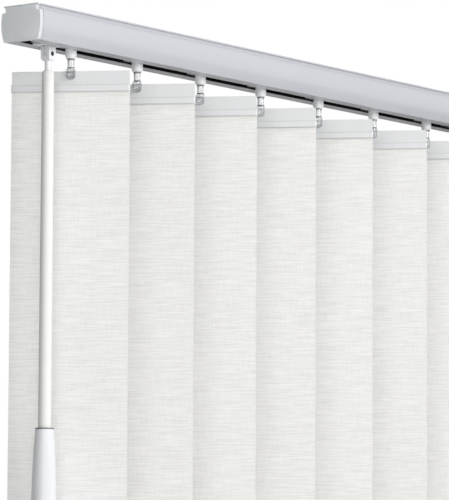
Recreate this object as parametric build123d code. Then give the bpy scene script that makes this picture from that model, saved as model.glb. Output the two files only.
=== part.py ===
from build123d import *
import os
from math import cos, hypot, radians, sin

# A vertical blind: seven fabric vanes on a wand-operated head rail.
# Millimetres. X runs along the rail, -Y faces the room and Z points up.
# The origin is midway between the ceiling clips' screw holes, at the clips' top plane.
# Pieces are drawn with Z = 0 at the rail's underside and are lowered when they are written.

# Whole blind
VANE_COUNT = 7
VANE_PITCH = 80.0
END_MARGIN = 58.5
DROP = 914.4
REST_ANGLE = 61.0

# Rail section, half widths from the centre plane and levels above the underside
RAIL_HEIGHT = 27.0
RAIL_WALL = 1.3
FLANGE_HALF = 16.4
FLANGE_THICKNESS = 1.2
GROOVE_HALF = 14.9
SHOULDER_HALF = 18.0
SHOULDER_LEVEL = 22.0
BULGE_HALF = 18.9
BULGE_LEVEL = 14.0
BOTTOM_HALF = 16.2
CORNER_RADIUS = 1.2
LIP_THICKNESS = 1.5
LIP_EDGE_RADIUS = 0.4
LIP_GROOVE_WIDTH = 1.8
LIP_GROOVE_DEPTH = 0.35
LIP_GROOVE_CENTRE = 11.0
SLOT_HALF = 5.5
MOUTH_HALF = 7.0
RUNWAY_HEIGHT = 0.3
RUNWAY_WIDTH = 1.6

# End caps
CAP_THICKNESS = 3.8
CAP_EDGE = 0.5
SPIGOT_LENGTH = 8.0
SPIGOT_WALL = 1.6
SPIGOT_CLEARANCE = 0.15
SPIGOT_SLOT_HALF = 6.6
SOCKET_WALL = 1.6
SOCKET_DEPTH = 6.4
ROD_END_FLOAT = 0.2

# Ceiling clips
CLIP_SPACING = 400.0
CLIP_LENGTH = 24.0
CLIP_WIDTH = 26.0
CLIP_THICKNESS = 1.0
CLIP_HOLE_RADIUS = 2.2
CLIP_BARB = 2.0
CLIP_CLEARANCE = 0.2

# Tilt drive
GEAR_TEETH = 19
GEAR_MODULE = 0.5
GEAR_THICKNESS = 4.0
GEAR_LEVEL = 14.0
DEDENDUM_SHARE = 1.25
TOOTH_TIP_START = 0.22
TOOTH_TIP_END = 0.48
TOOTH_FOOT_END = 0.7
WORM_PITCH_RADIUS = 3.5
MESH_CLEARANCE = 0.12
WORM_COLLAR_RADIUS = 3.6
WORM_COLLAR_LENGTH = 1.0
ROD_LOBES = 3
ROD_LOBE_RADIUS = 0.95
ROD_LOBE_OFFSET = 1.1
ROD_CORE_RADIUS = 1.35
ROD_CLEARANCE = 0.12
JOURNAL_CLEARANCE = 0.06
DRIVE_TEETH = 8
DRIVE_TOOTH_HEIGHT = 0.9

# Carriages
TRUCK_LENGTH = 16.0
CARRIER_LEFT = 12.0
CARRIER_RIGHT = 8.5
WAND_OFFSET = 26.5
BODY_HALF = 7.4
BODY_CLEARANCE = 0.7
DECK_LEVEL = 8.7
BODY_TOP = 18.6
WORM_SIDE_WALL = 0.9
END_WALL = 1.6
HOUSING_CLEARANCE = 0.2
THREAD_HEIGHT = 1.22
WING_HALF = 14.8
WING_WALL = 1.2
WING_BACK = 8.0
SNAP_THROAT_HALF = 2.6
POCKET_CLEARANCE = 0.35
SHELF_GAP = 0.2
LINK_HALF = 3.7

# Rollers and their axles
ROLLER_RADIUS = 3.2
ROLLER_WIDTH = 3.0
ROLLER_GAP = 0.1
ROLLER_SIDE_GAP = 0.15
AXLE_RADIUS = 1.3
AXLE_BOSS_RADIUS = 2.0
AXLE_BOSS_LENGTH = 0.45
AXLE_HEAD_RADIUS = 1.7
AXLE_HEAD_LENGTH = 0.6

# Spacer links
STRAP_WIDTH = 3.6
STRAP_THICKNESS = 0.5
STRAP_LAYER = 0.8
STRAP_CLEARANCE = 0.2
STRAP_HEAD_LENGTH = 1.5
STRAP_HEAD_WIDTH = 5.1
NIB_LENGTH = 1.2

# Collar and stem, levels below the rail's underside
COLLAR_RADIUS = 4.3
COLLAR_DROP = 4.2
COLLAR_TIP_RADIUS = 3.3
COLLAR_TIP_DROP = 5.8
STEM_RADIUS = 2.5
BEAD_GAP = 0.1
BEAD_RADIUS = 2.9
BEAD_HEIGHT = 1.0
STEM_WAIST_RADIUS = 2.65
STEM_BEAD_DROP = 13.0
CLIP_JAW_WIDTH = 6.8
CLIP_JAW_DEPTH = 5.6
CLIP_JAW_DROP = 21.4
CLIP_JAW_CORNER = 2.4
JAW_ROOF = 1.0
PLATE_CLEARANCE = 0.15
HOOK_WIDTH = 3.2
HOOK_HEIGHT = 1.8

# Vanes
VANE_WIDTH = 89.0
FABRIC_THICKNESS = 0.55
PLATE_INSET = 0.15
PLATE_THICKNESS = 1.2
PLATE_CORNER = 0.8
RIDGE_OVERHANG = 0.3
RIDGE_THICKNESS = 3.0
RIDGE_DROP = 25.1
RIDGE_HEIGHT = 5.5
RIDGE_END_RADIUS = 1.3
RIDGE_POCKET_DEPTH = 4.2
RIDGE_POCKET_CLEARANCE = 0.12
HOOK_HOLE_CLEARANCE = 0.5
WEIGHT_HEIGHT = 34.0
WEIGHT_THICKNESS = 2.4

# Wand, levels below the rail's underside
SHAFT_RADIUS = 2.0
TONGUE_THICKNESS = 2.2
TONGUE_HALF = 2.2
PIN_RADIUS = 1.15
PIN_LENGTH = 4.6
PIN_DROP = 5.6
FORK_SIDE = 7.3
FORK_HEIGHT = 10.6
FORK_CHAMFER_HEIGHT = 1.8
FORK_CLEARANCE = 0.15
FORK_END_CLEARANCE = 0.35
NOSE_GAP = 0.2
NOSE_SIDE_GAP = 0.3
NECK_RADIUS = 2.6
NECK_DROP = 16.6
TUBE_RIM_RADIUS = 3.2
TUBE_SHOULDER_DROP = 18.8
TUBE_TOP_RADIUS = 4.45
TUBE_BOTTOM_RADIUS = 4.8
TUBE_BORE_RADIUS = 3.0
TUBE_ROOF = 1.6
PLUG_LENGTH = 14.0
PLUG_CLEARANCE = 0.05
GRIP_DROP = 282.0
GRIP_LENGTH = 112.0
GRIP_TOP_RADIUS = 6.9
GRIP_BULGE_RADIUS = 9.2
GRIP_BULGE_SHARE = 0.55
GRIP_TIP_RADIUS = 7.6
GRIP_EDGE = 1.2
GRIP_SOCKET_DEPTH = 28.0

# Worked-out places
RAIL_UNDERSIDE = -(CLIP_THICKNESS + RAIL_HEIGHT)
OVERALL_HALF = (VANE_COUNT - 1) * VANE_PITCH / 2 + END_MARGIN
RAIL_HALF = OVERALL_HALF - CAP_THICKNESS
FLANGE_UNDERSIDE = RAIL_HEIGHT - FLANGE_THICKNESS
WEB_UNDERSIDE = SHOULDER_LEVEL - RAIL_WALL
GEAR_PITCH_RADIUS = GEAR_TEETH * GEAR_MODULE / 2
GEAR_TIP_RADIUS = GEAR_PITCH_RADIUS + GEAR_MODULE
GEAR_ROOT_RADIUS = GEAR_PITCH_RADIUS - DEDENDUM_SHARE * GEAR_MODULE
ROD_Y = GEAR_PITCH_RADIUS + WORM_PITCH_RADIUS
WORM_CORE_RADIUS = ROD_Y - GEAR_TIP_RADIUS - MESH_CLEARANCE
ROD_TIP_RADIUS = ROD_LOBE_OFFSET + ROD_LOBE_RADIUS
HOUSING_RADIUS = WORM_CORE_RADIUS + THREAD_HEIGHT + HOUSING_CLEARANCE
BODY_BACK = ROD_Y + HOUSING_RADIUS + WORM_SIDE_WALL
BODY_FLOOR = LIP_THICKNESS + BODY_CLEARANCE
AXLE_LEVEL = LIP_THICKNESS + RUNWAY_HEIGHT + ROLLER_GAP + ROLLER_RADIUS
BOSS_FACE = BODY_HALF + AXLE_BOSS_LENGTH
ROLLER_FACE = BOSS_FACE + ROLLER_SIDE_GAP
ROLLER_CENTRE = ROLLER_FACE + ROLLER_WIDTH / 2
AXLE_END = ROLLER_FACE + ROLLER_WIDTH + ROLLER_SIDE_GAP
WINDOW_FRONT = WING_HALF - WING_WALL
WINDOW_FLOOR = DECK_LEVEL + WING_WALL
WINDOW_ROOF = WINDOW_FLOOR + VANE_COUNT * STRAP_LAYER + STRAP_CLEARANCE
WING_TOP = WINDOW_ROOF + WING_WALL
STRAP_BACK = WING_BACK + STRAP_CLEARANCE
STRAP_FRONT = STRAP_BACK + STRAP_WIDTH
HEAD_FRONT = STRAP_BACK + STRAP_HEAD_WIDTH
PLATE_DROP = STEM_BEAD_DROP + BEAD_HEIGHT + JAW_ROOF + PLATE_CLEARANCE
HOOK_DROP = (STEM_BEAD_DROP + BEAD_HEIGHT + CLIP_JAW_DROP) / 2
FABRIC_DROP = RIDGE_DROP + RIDGE_HEIGHT - RIDGE_POCKET_DEPTH + RIDGE_POCKET_CLEARANCE
VANE_BOTTOM = DROP + RAIL_UNDERSIDE
PLATE_WIDTH = VANE_WIDTH - 2 * PLATE_INSET
RIDGE_WIDTH = VANE_WIDTH + 2 * RIDGE_OVERHANG
FORK_SWING_TOP = hypot(FORK_SIDE / 2, PIN_DROP) - PIN_DROP + FORK_END_CLEARANCE
FORK_TWIST_REACH = hypot(FORK_SIDE / 2, FORK_SIDE / 2) + FORK_END_CLEARANCE
TONGUE_REACH = hypot(TONGUE_HALF, TONGUE_THICKNESS / 2)
TUBE_END_DROP = GRIP_DROP + GRIP_SOCKET_DEPTH - PLUG_CLEARANCE
DRIVE_TIP_RADIUS = GEAR_TIP_RADIUS
DRIVE_ROOT_RADIUS = DRIVE_TIP_RADIUS - DRIVE_TOOTH_HEIGHT


def stem_x(number):
    """Place of a vane's stem along the rail, numbered from 1 at the wand end."""
    return (number - (VANE_COUNT + 1) / 2) * VANE_PITCH


def block(x, y, z):
    """A box between three pairs of limits."""
    size = (x[1] - x[0], y[1] - y[0], z[1] - z[0])
    return Pos(sum(x) / 2, sum(y) / 2, sum(z) / 2) * Box(*size)


def panel(y, z):
    """A rectangle between two pairs of limits, drawn in (Y, Z)."""
    return Pos(sum(y) / 2, sum(z) / 2) * Rectangle(y[1] - y[0], z[1] - z[0])


def run_along_x(face, x):
    """Run a face drawn in (Y, Z) along X between two limits."""
    return extrude(Plane.YZ.offset(x[0]) * face, x[1] - x[0])


def bar_x(radius, x, y, z):
    """A round bar along X."""
    return Pos(sum(x) / 2, y, z) * Rot(0, 90, 0) * Cylinder(radius, x[1] - x[0])


def bar_y(radius, x, y, z):
    """A round bar along Y."""
    return Pos(x, sum(y) / 2, z) * Rot(90, 0, 0) * Cylinder(radius, y[1] - y[0])


def bar_z(radius, z):
    """A round bar along Z."""
    return Pos(0, 0, sum(z) / 2) * Cylinder(radius, z[1] - z[0])


def cone_z(radii, z):
    """A cone along Z, with the radius at each of its two levels."""
    return Pos(0, 0, sum(z) / 2) * Cone(radii[0], radii[1], z[1] - z[0])


def bellied_face(inset, z_low, z_high):
    """The rail's bellied section between two levels, drawn in (Y, Z)."""
    bottom = BOTTOM_HALF - inset
    shoulder = SHOULDER_HALF - inset
    side = ThreePointArc((bottom, z_low), (BULGE_HALF - inset, BULGE_LEVEL), (shoulder, z_high))
    floor = Line((0, z_low), (bottom, z_low))
    roof = Line((shoulder, z_high), (0, z_high))
    middle = Line((0, z_high), (0, z_low))
    half = make_face([floor, side, roof, middle])
    return half + mirror(half, Plane.YZ)


def rail_outline():
    """The rail's filled outline, with the side grooves below its top flange."""
    body = bellied_face(0, 0, SHOULDER_LEVEL)
    low_corners = body.vertices().group_by(Axis.Y)[0].sort_by(Axis.X)
    body = fillet([low_corners[0], low_corners[-1]], CORNER_RADIUS)
    neck = panel((-GROOVE_HALF, GROOVE_HALF), (SHOULDER_LEVEL, FLANGE_UNDERSIDE))
    flange = panel((-FLANGE_HALF, FLANGE_HALF), (FLANGE_UNDERSIDE, RAIL_HEIGHT))
    return body + neck + flange


def rail_section():
    """The extruded section: closed body, T-channel on top, slot and roller runways below."""
    channel_half = GROOVE_HALF - RAIL_WALL
    section = rail_outline() - bellied_face(RAIL_WALL, LIP_THICKNESS, WEB_UNDERSIDE)
    section -= panel((-channel_half, channel_half), (SHOULDER_LEVEL, FLANGE_UNDERSIDE))
    section -= panel((-MOUTH_HALF, MOUTH_HALF), (FLANGE_UNDERSIDE, RAIL_HEIGHT))
    section -= panel((-SLOT_HALF, SLOT_HALF), (0, LIP_THICKNESS))
    low_corners = section.vertices().group_by(Axis.Y)[0].sort_by(Axis.X)
    slot_corners = [corner for corner in low_corners if abs(corner.X) <= MOUTH_HALF]
    section = fillet(slot_corners, LIP_EDGE_RADIUS)
    for side in (-1, 1):
        runway = Rectangle(RUNWAY_WIDTH, RUNWAY_HEIGHT)
        section += Pos(side * ROLLER_CENTRE, LIP_THICKNESS + RUNWAY_HEIGHT / 2) * runway
        groove = Rectangle(LIP_GROOVE_WIDTH, 2 * LIP_GROOVE_DEPTH)
        section -= Pos(side * LIP_GROOVE_CENTRE, 0) * groove
    return section


def rail():
    return run_along_x(rail_section(), (-RAIL_HALF, RAIL_HALF))


def end_cap():
    """The left end cap: an outer plate, a hollow spigot and the rod's socket."""
    plate = run_along_x(rail_outline(), (-OVERALL_HALF, -RAIL_HALF))
    plate = chamfer(plate.faces().sort_by(Axis.X)[0].edges(), CAP_EDGE)
    reach = (-RAIL_HALF, -RAIL_HALF + SPIGOT_LENGTH)
    skin = RAIL_WALL + SPIGOT_CLEARANCE
    floor = LIP_THICKNESS + SPIGOT_CLEARANCE
    roof = WEB_UNDERSIDE - SPIGOT_CLEARANCE
    ring = bellied_face(skin, floor + RUNWAY_HEIGHT, roof)
    ring -= bellied_face(skin + SPIGOT_WALL, floor + RUNWAY_HEIGHT + SPIGOT_WALL, roof - SPIGOT_WALL)
    ring -= panel((-SPIGOT_SLOT_HALF, SPIGOT_SLOT_HALF), (0, floor + RUNWAY_HEIGHT + SPIGOT_WALL))
    spigot = run_along_x(ring, reach)
    hole_radius = ROD_TIP_RADIUS + JOURNAL_CLEARANCE
    boss = bar_x(hole_radius + SOCKET_WALL, reach, ROD_Y, GEAR_LEVEL)
    hole = bar_x(hole_radius, (reach[1] - SOCKET_DEPTH, reach[1]), ROD_Y, GEAR_LEVEL)
    return plate + spigot + boss - hole


def mounting_clip():
    """A one-piece spring clip: a screwed plate and two barbed legs in the top channel."""
    top = RAIL_HEIGHT + CLIP_THICKNESS
    leg_outer = MOUTH_HALF - CLIP_CLEARANCE
    leg_inner = leg_outer - CLIP_THICKNESS
    barb_top = FLANGE_UNDERSIDE - CLIP_CLEARANCE
    face = panel((-CLIP_WIDTH / 2, CLIP_WIDTH / 2), (RAIL_HEIGHT, top))
    for side in (-1, 1):
        barb = Polyline(
            (side * leg_inner, RAIL_HEIGHT),
            (side * leg_outer, RAIL_HEIGHT),
            (side * leg_outer, barb_top),
            (side * (leg_outer + CLIP_BARB), barb_top),
            (side * leg_inner, barb_top - CLIP_BARB),
            close=True,
        )
        face += make_face(barb)
    clip = run_along_x(face, (-CLIP_LENGTH / 2, CLIP_LENGTH / 2))
    return clip - bar_z(CLIP_HOLE_RADIUS, (RAIL_HEIGHT, top))


def rod_section(clearance=0.0):
    """The lobed section of the tilt rod, or of a bore that fits it."""
    section = Circle(ROD_CORE_RADIUS + clearance)
    for lobe in PolarLocations(ROD_LOBE_OFFSET, ROD_LOBES):
        section += lobe * Circle(ROD_LOBE_RADIUS + clearance)
    return Pos(ROD_Y, GEAR_LEVEL) * section


def tilt_rod():
    half = RAIL_HALF - SPIGOT_LENGTH + SOCKET_DEPTH - ROD_END_FLOAT
    return run_along_x(rod_section(), (-half, half))


def worm_sleeve(x):
    """A sleeve on the rod with a collar inside each end wall of its housing."""
    sleeve = bar_x(WORM_CORE_RADIUS, x, ROD_Y, GEAR_LEVEL)
    inner = (x[0] + END_WALL + HOUSING_CLEARANCE, x[1] - END_WALL - HOUSING_CLEARANCE)
    for start in (inner[0], inner[1] - WORM_COLLAR_LENGTH):
        collar = (start, start + WORM_COLLAR_LENGTH)
        sleeve += bar_x(WORM_COLLAR_RADIUS, collar, ROD_Y, GEAR_LEVEL)
    return sleeve - run_along_x(rod_section(ROD_CLEARANCE), x)


def toothed_wheel(teeth, tip_radius, root_radius):
    """A straight-flanked gear centred on Z at the level of the rod."""
    tooth_points = (
        (0, root_radius),
        (TOOTH_TIP_START, tip_radius),
        (TOOTH_TIP_END, tip_radius),
        (TOOTH_FOOT_END, root_radius),
    )
    outline = []
    for tooth in range(teeth):
        for share, radius in tooth_points:
            turn = radians(360 / teeth * (tooth + share))
            outline.append((radius * cos(turn), radius * sin(turn)))
    face = make_face(Polyline(*outline, close=True))
    return Pos(0, 0, GEAR_LEVEL - GEAR_THICKNESS / 2) * extrude(face, GEAR_THICKNESS)


def layer_levels(number):
    """The lower and upper level of a numbered spacer link."""
    low = WINDOW_FLOOR + STRAP_CLEARANCE + (number - 1) * STRAP_LAYER
    return (low, low + STRAP_THICKNESS)


def carriage(x, bore_radius, caught_layer):
    """The moulded body that trucks and the wand carrier share, around a gear at X = 0."""
    body = block(x, (-BODY_HALF, BODY_HALF), (BODY_FLOOR, DECK_LEVEL))
    body += block(x, (-WING_HALF, -WING_BACK), (DECK_LEVEL, WING_TOP))
    body += block(x, (-WING_BACK, BODY_BACK), (DECK_LEVEL, BODY_TOP))
    body -= block(x, (-WINDOW_FRONT, -WING_BACK), (WINDOW_FLOOR, WINDOW_ROOF))
    inner = (x[0] + END_WALL, x[1] - END_WALL)
    body -= bar_x(HOUSING_RADIUS, inner, ROD_Y, GEAR_LEVEL)
    body -= block(inner, (ROD_Y - HOUSING_RADIUS, ROD_Y + HOUSING_RADIUS), (GEAR_LEVEL, BODY_TOP))
    body -= bar_x(WORM_CORE_RADIUS + JOURNAL_CLEARANCE, x, ROD_Y, GEAR_LEVEL)
    body -= block(x, (ROD_Y - SNAP_THROAT_HALF, ROD_Y + SNAP_THROAT_HALF), (GEAR_LEVEL, BODY_TOP))
    shelf = GEAR_LEVEL - GEAR_THICKNESS / 2 - SHELF_GAP
    body -= bar_z(GEAR_TIP_RADIUS + POCKET_CLEARANCE, (shelf, BODY_TOP))
    body -= bar_z(bore_radius, (0, BODY_TOP))
    for side in (-1, 1):
        for radius, start, end in (
            (AXLE_BOSS_RADIUS, BODY_HALF, BOSS_FACE),
            (AXLE_RADIUS, BOSS_FACE, AXLE_END),
            (AXLE_HEAD_RADIUS, AXLE_END, AXLE_END + AXLE_HEAD_LENGTH),
        ):
            body += bar_y(radius, 0, sorted((side * start, side * end)), AXLE_LEVEL)
    if caught_layer:
        nib = (x[0], x[0] + NIB_LENGTH)
        body += block(nib, (-WINDOW_FRONT, -STRAP_FRONT - STRAP_CLEARANCE), layer_levels(caught_layer))
    return body


def spacer_strap(number, far_face):
    """A numbered spacer link, from its truck to just past the far face of the one it hooks."""
    levels = layer_levels(number)
    half = TRUCK_LENGTH / 2
    head = far_face - STRAP_CLEARANCE
    strap = block((head - STRAP_HEAD_LENGTH, half), (-STRAP_FRONT, -STRAP_BACK), levels)
    strap += block((head - STRAP_HEAD_LENGTH, head), (-HEAD_FRONT, -STRAP_BACK), levels)
    return strap + block((-half, half), (-STRAP_BACK, -WING_BACK), levels)


def truck(number):
    """A vane's carriage with its collar, its spacer link and the catch for the next link."""
    bore_radius = STEM_RADIUS + JOURNAL_CLEARANCE
    half = TRUCK_LENGTH / 2
    caught_layer = number + 1 if number < VANE_COUNT else 0
    body = carriage((-half, half), bore_radius, caught_layer)
    body += bar_z(COLLAR_RADIUS, (-COLLAR_DROP, BODY_FLOOR))
    body += cone_z((COLLAR_TIP_RADIUS, COLLAR_RADIUS), (-COLLAR_TIP_DROP, -COLLAR_DROP))
    body -= bar_z(bore_radius, (-COLLAR_TIP_DROP, BODY_FLOOR))
    if number == 1:
        far_face = -WAND_OFFSET - CARRIER_LEFT
    else:
        far_face = -VANE_PITCH - half
    return body + spacer_strap(number, far_face)


def wand_carrier():
    """The leading carriage, with the nose that fills the slot and a bar that meets truck 1."""
    bore_radius = SHAFT_RADIUS + JOURNAL_CLEARANCE
    x = (-CARRIER_LEFT, CARRIER_RIGHT)
    nose_half = SLOT_HALF - NOSE_SIDE_GAP
    nose = block(x, (-nose_half, nose_half), (NOSE_GAP, BODY_FLOOR))
    nose -= bar_z(FORK_TWIST_REACH, (0, FORK_SWING_TOP))
    nose -= bar_z(TONGUE_REACH + FORK_CLEARANCE, (0, FORK_SWING_TOP + FORK_CLEARANCE))
    nose -= bar_z(bore_radius, (0, BODY_FLOOR))
    link_end = WAND_OFFSET - TRUCK_LENGTH / 2
    link = block((CARRIER_RIGHT, link_end), (-LINK_HALF, LINK_HALF), (DECK_LEVEL, GEAR_LEVEL))
    return carriage(x, bore_radius, 1) + nose + link


def roller_pair():
    """Two rollers on a carriage's axle, one on each side."""
    pair = []
    for side in (-1, 1):
        y = sorted((side * ROLLER_FACE, side * (ROLLER_FACE + ROLLER_WIDTH)))
        tread = bar_y(ROLLER_RADIUS, 0, y, AXLE_LEVEL)
        pair.append(tread - bar_y(AXLE_RADIUS + JOURNAL_CLEARANCE, 0, y, AXLE_LEVEL))
    return Compound(children=pair)


def stem():
    """A clear stem: gear, shaft, two snap beads and the forked clip for the vane hanger."""
    collar_end = -COLLAR_TIP_DROP - BEAD_GAP
    lower_bead = (-STEM_BEAD_DROP - BEAD_HEIGHT, -STEM_BEAD_DROP)
    jaw_top = lower_bead[0]
    body = toothed_wheel(GEAR_TEETH, GEAR_TIP_RADIUS, GEAR_ROOT_RADIUS)
    body += bar_z(STEM_RADIUS, (collar_end, GEAR_LEVEL))
    body += bar_z(BEAD_RADIUS, (collar_end - BEAD_HEIGHT, collar_end))
    body += bar_z(STEM_WAIST_RADIUS, (lower_bead[1], collar_end - BEAD_HEIGHT))
    body += bar_z(BEAD_RADIUS, lower_bead)
    half = CLIP_JAW_WIDTH / 2
    jaws = block((-half, half), (-CLIP_JAW_DEPTH / 2, CLIP_JAW_DEPTH / 2), (-CLIP_JAW_DROP, jaw_top))
    low_edges = jaws.edges().filter_by(Axis.Y).group_by(Axis.Z)[0]
    jaws = fillet(low_edges, CLIP_JAW_CORNER)
    slit_half = PLATE_THICKNESS / 2 + PLATE_CLEARANCE
    jaws -= block((-half, half), (-slit_half, slit_half), (-CLIP_JAW_DROP, jaw_top - JAW_ROOF))
    hook_z = (-HOOK_DROP - HOOK_HEIGHT / 2, -HOOK_DROP + HOOK_HEIGHT / 2)
    hook = block((-HOOK_WIDTH / 2, HOOK_WIDTH / 2), (-slit_half, PLATE_THICKNESS / 2), hook_z)
    return body + jaws + hook


def hanger():
    """A vane hanger: a thin plate with the clip's hole and a thicker ridge below."""
    plate = block(
        (-PLATE_WIDTH / 2, PLATE_WIDTH / 2),
        (-PLATE_THICKNESS / 2, PLATE_THICKNESS / 2),
        (-RIDGE_DROP, -PLATE_DROP),
    )
    top_edges = plate.edges().filter_by(Axis.Y).group_by(Axis.Z)[-1]
    plate = fillet(top_edges, PLATE_CORNER)
    hole_half = HOOK_WIDTH / 2 + HOOK_HOLE_CLEARANCE
    hole_rise = HOOK_HEIGHT / 2 + HOOK_HOLE_CLEARANCE
    plate -= block(
        (-hole_half, hole_half),
        (-PLATE_THICKNESS / 2, PLATE_THICKNESS / 2),
        (-HOOK_DROP - hole_rise, -HOOK_DROP + hole_rise),
    )
    ridge_bottom = -RIDGE_DROP - RIDGE_HEIGHT
    ridge = block(
        (-RIDGE_WIDTH / 2, RIDGE_WIDTH / 2),
        (-RIDGE_THICKNESS / 2, RIDGE_THICKNESS / 2),
        (ridge_bottom, -RIDGE_DROP),
    )
    ridge = fillet(ridge.edges().filter_by(Axis.Z), RIDGE_END_RADIUS)
    pocket_half = FABRIC_THICKNESS / 2 + RIDGE_POCKET_CLEARANCE
    pocket = block(
        (-RIDGE_WIDTH / 2, RIDGE_WIDTH / 2),
        (-pocket_half, pocket_half),
        (ridge_bottom, ridge_bottom + RIDGE_POCKET_DEPTH),
    )
    return plate + ridge - pocket


def slat():
    """A fabric vane with the weight sewn into its bottom hem."""
    thin = FABRIC_THICKNESS / 2
    thick = WEIGHT_THICKNESS / 2
    hem_top = WEIGHT_HEIGHT - VANE_BOTTOM
    outline = Polyline(
        (-thin, -FABRIC_DROP),
        (-thin, hem_top),
        (-thick, hem_top - thick),
        (-thick, thick - VANE_BOTTOM),
        (-thin, -VANE_BOTTOM),
        (thin, -VANE_BOTTOM),
        (thick, thick - VANE_BOTTOM),
        (thick, hem_top - thick),
        (thin, hem_top),
        (thin, -FABRIC_DROP),
        close=True,
    )
    return run_along_x(make_face(outline), (-VANE_WIDTH / 2, VANE_WIDTH / 2))


def wand_shaft():
    """The wand's upper shaft: drive gear on top, flat tongue with the pin's eye below."""
    tongue_half = TONGUE_THICKNESS / 2
    body = toothed_wheel(DRIVE_TEETH, DRIVE_TIP_RADIUS, DRIVE_ROOT_RADIUS)
    body += bar_z(SHAFT_RADIUS, (FORK_SWING_TOP, GEAR_LEVEL))
    body += block((-TONGUE_HALF, TONGUE_HALF), (-tongue_half, tongue_half), (-PIN_DROP, FORK_SWING_TOP))
    body += bar_y(TONGUE_HALF, 0, (-tongue_half, tongue_half), -PIN_DROP)
    return body - bar_y(PIN_RADIUS + JOURNAL_CLEARANCE, 0, (-tongue_half, tongue_half), -PIN_DROP)


def wand_fork():
    """The square fork block, its neck and the plug that holds the tube."""
    half = FORK_SIDE / 2
    chamfer_level = FORK_CHAMFER_HEIGHT - FORK_HEIGHT
    outline = Polyline(
        (-half, 0),
        (-half, chamfer_level),
        (-NECK_RADIUS, -FORK_HEIGHT),
        (NECK_RADIUS, -FORK_HEIGHT),
        (half, chamfer_level),
        (half, 0),
        close=True,
    )
    body = extrude(Plane.XZ.offset(-half) * make_face(outline), FORK_SIDE)
    gap = TONGUE_THICKNESS / 2 + FORK_CLEARANCE
    gap_floor = -PIN_DROP - TONGUE_HALF - FORK_END_CLEARANCE
    body -= block((-half, half), (-gap, gap), (gap_floor, 0))
    body -= bar_y(PIN_RADIUS, 0, (-half, half), -PIN_DROP)
    body += bar_z(NECK_RADIUS, (-NECK_DROP - TUBE_ROOF, -FORK_HEIGHT))
    plug_top = -NECK_DROP - TUBE_ROOF
    return body + bar_z(TUBE_BORE_RADIUS - PLUG_CLEARANCE, (plug_top - PLUG_LENGTH, plug_top))


def fork_pin():
    return bar_y(PIN_RADIUS, 0, (-PIN_LENGTH / 2, PIN_LENGTH / 2), -PIN_DROP)


def wand_tube():
    """The slim tube, a little wider at its lower end, with a coned top around the neck."""
    body = cone_z((TUBE_TOP_RADIUS, TUBE_RIM_RADIUS), (-TUBE_SHOULDER_DROP, -NECK_DROP))
    body += cone_z((TUBE_BOTTOM_RADIUS, TUBE_TOP_RADIUS), (-TUBE_END_DROP, -TUBE_SHOULDER_DROP))
    body -= bar_z(TUBE_BORE_RADIUS, (-TUBE_END_DROP, -NECK_DROP - TUBE_ROOF))
    return body - bar_z(NECK_RADIUS + PLUG_CLEARANCE, (-NECK_DROP - TUBE_ROOF, -NECK_DROP))


def wand_grip():
    """The swelling grip, revolved, with a socket for the tube."""
    bottom = -GRIP_DROP - GRIP_LENGTH
    bulge = -GRIP_DROP - GRIP_BULGE_SHARE * GRIP_LENGTH
    top_start = (GRIP_TOP_RADIUS, -GRIP_DROP - GRIP_EDGE)
    tip_start = (GRIP_TIP_RADIUS, bottom + GRIP_EDGE)
    side = ThreePointArc(top_start, (GRIP_BULGE_RADIUS, bulge), tip_start)
    rest = Polyline(
        tip_start,
        (GRIP_TIP_RADIUS - GRIP_EDGE, bottom),
        (0, bottom),
        (0, -GRIP_DROP),
        (GRIP_TOP_RADIUS - GRIP_EDGE, -GRIP_DROP),
        top_start,
    )
    body = revolve(Plane.XZ * make_face([side, rest]), Axis.Z)
    socket = bar_z(TUBE_BOTTOM_RADIUS + PLUG_CLEARANCE, (-GRIP_DROP - GRIP_SOCKET_DEPTH, -GRIP_DROP))
    return body - socket


def write(name, shape, x=0.0, turn=0.0):
    """Set a piece in its place along the rail, lower it to the rail's level and save it."""
    placed = Pos(x, 0, RAIL_UNDERSIDE) * Rot(0, 0, turn) * shape
    placed.label = name
    export_step(placed, f"parts/{name}.step")


def write_rail_pieces():
    write("rail", rail())
    left_cap = end_cap()
    write("end_cap_left", left_cap)
    write("end_cap_right", mirror(left_cap, Plane.YZ))
    clips = [Pos(side * CLIP_SPACING / 2, 0, 0) * mounting_clip() for side in (-1, 1)]
    write("mounting_clips", Compound(children=clips))
    write("tilt_rod", tilt_rod())


def write_wand_pieces():
    x = stem_x(1) - WAND_OFFSET
    write("wand_carrier", wand_carrier(), x)
    write("carrier_rollers", roller_pair(), x)
    write("drive_gear", worm_sleeve((-CARRIER_LEFT, CARRIER_RIGHT)), x)
    write("wand_shaft", wand_shaft(), x)
    write("wand_fork", wand_fork(), x)
    write("fork_pin", fork_pin(), x)
    write("wand_tube", wand_tube(), x)
    write("wand_grip", wand_grip(), x)


def write_vane_pieces(number):
    x = stem_x(number)
    half = TRUCK_LENGTH / 2
    write(f"truck_{number}", truck(number), x)
    write(f"rollers_{number}", roller_pair(), x)
    write(f"worm_{number}", worm_sleeve((-half, half)), x)
    write(f"stem_{number}", stem(), x, -REST_ANGLE)
    write(f"hanger_{number}", hanger(), x, -REST_ANGLE)
    write(f"slat_{number}", slat(), x, -REST_ANGLE)


os.makedirs("parts", exist_ok=True)
write_rail_pieces()
write_wand_pieces()
for vane_number in range(1, VANE_COUNT + 1):
    write_vane_pieces(vane_number)
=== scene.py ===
"""Looks of a vertical blind: seven fabric vanes on a wand-operated head rail.

Every size is in metres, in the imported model's own frame: X runs along the rail, -Y faces the
room and Z points up. The origin is at the ceiling clips' top plane, midway between their holes.
"""

from __future__ import annotations

import logging
import math
from dataclasses import dataclass
from enum import Enum
from typing import Iterable, Sequence

import bmesh
import bpy
from mathutils import Matrix, Vector

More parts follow.
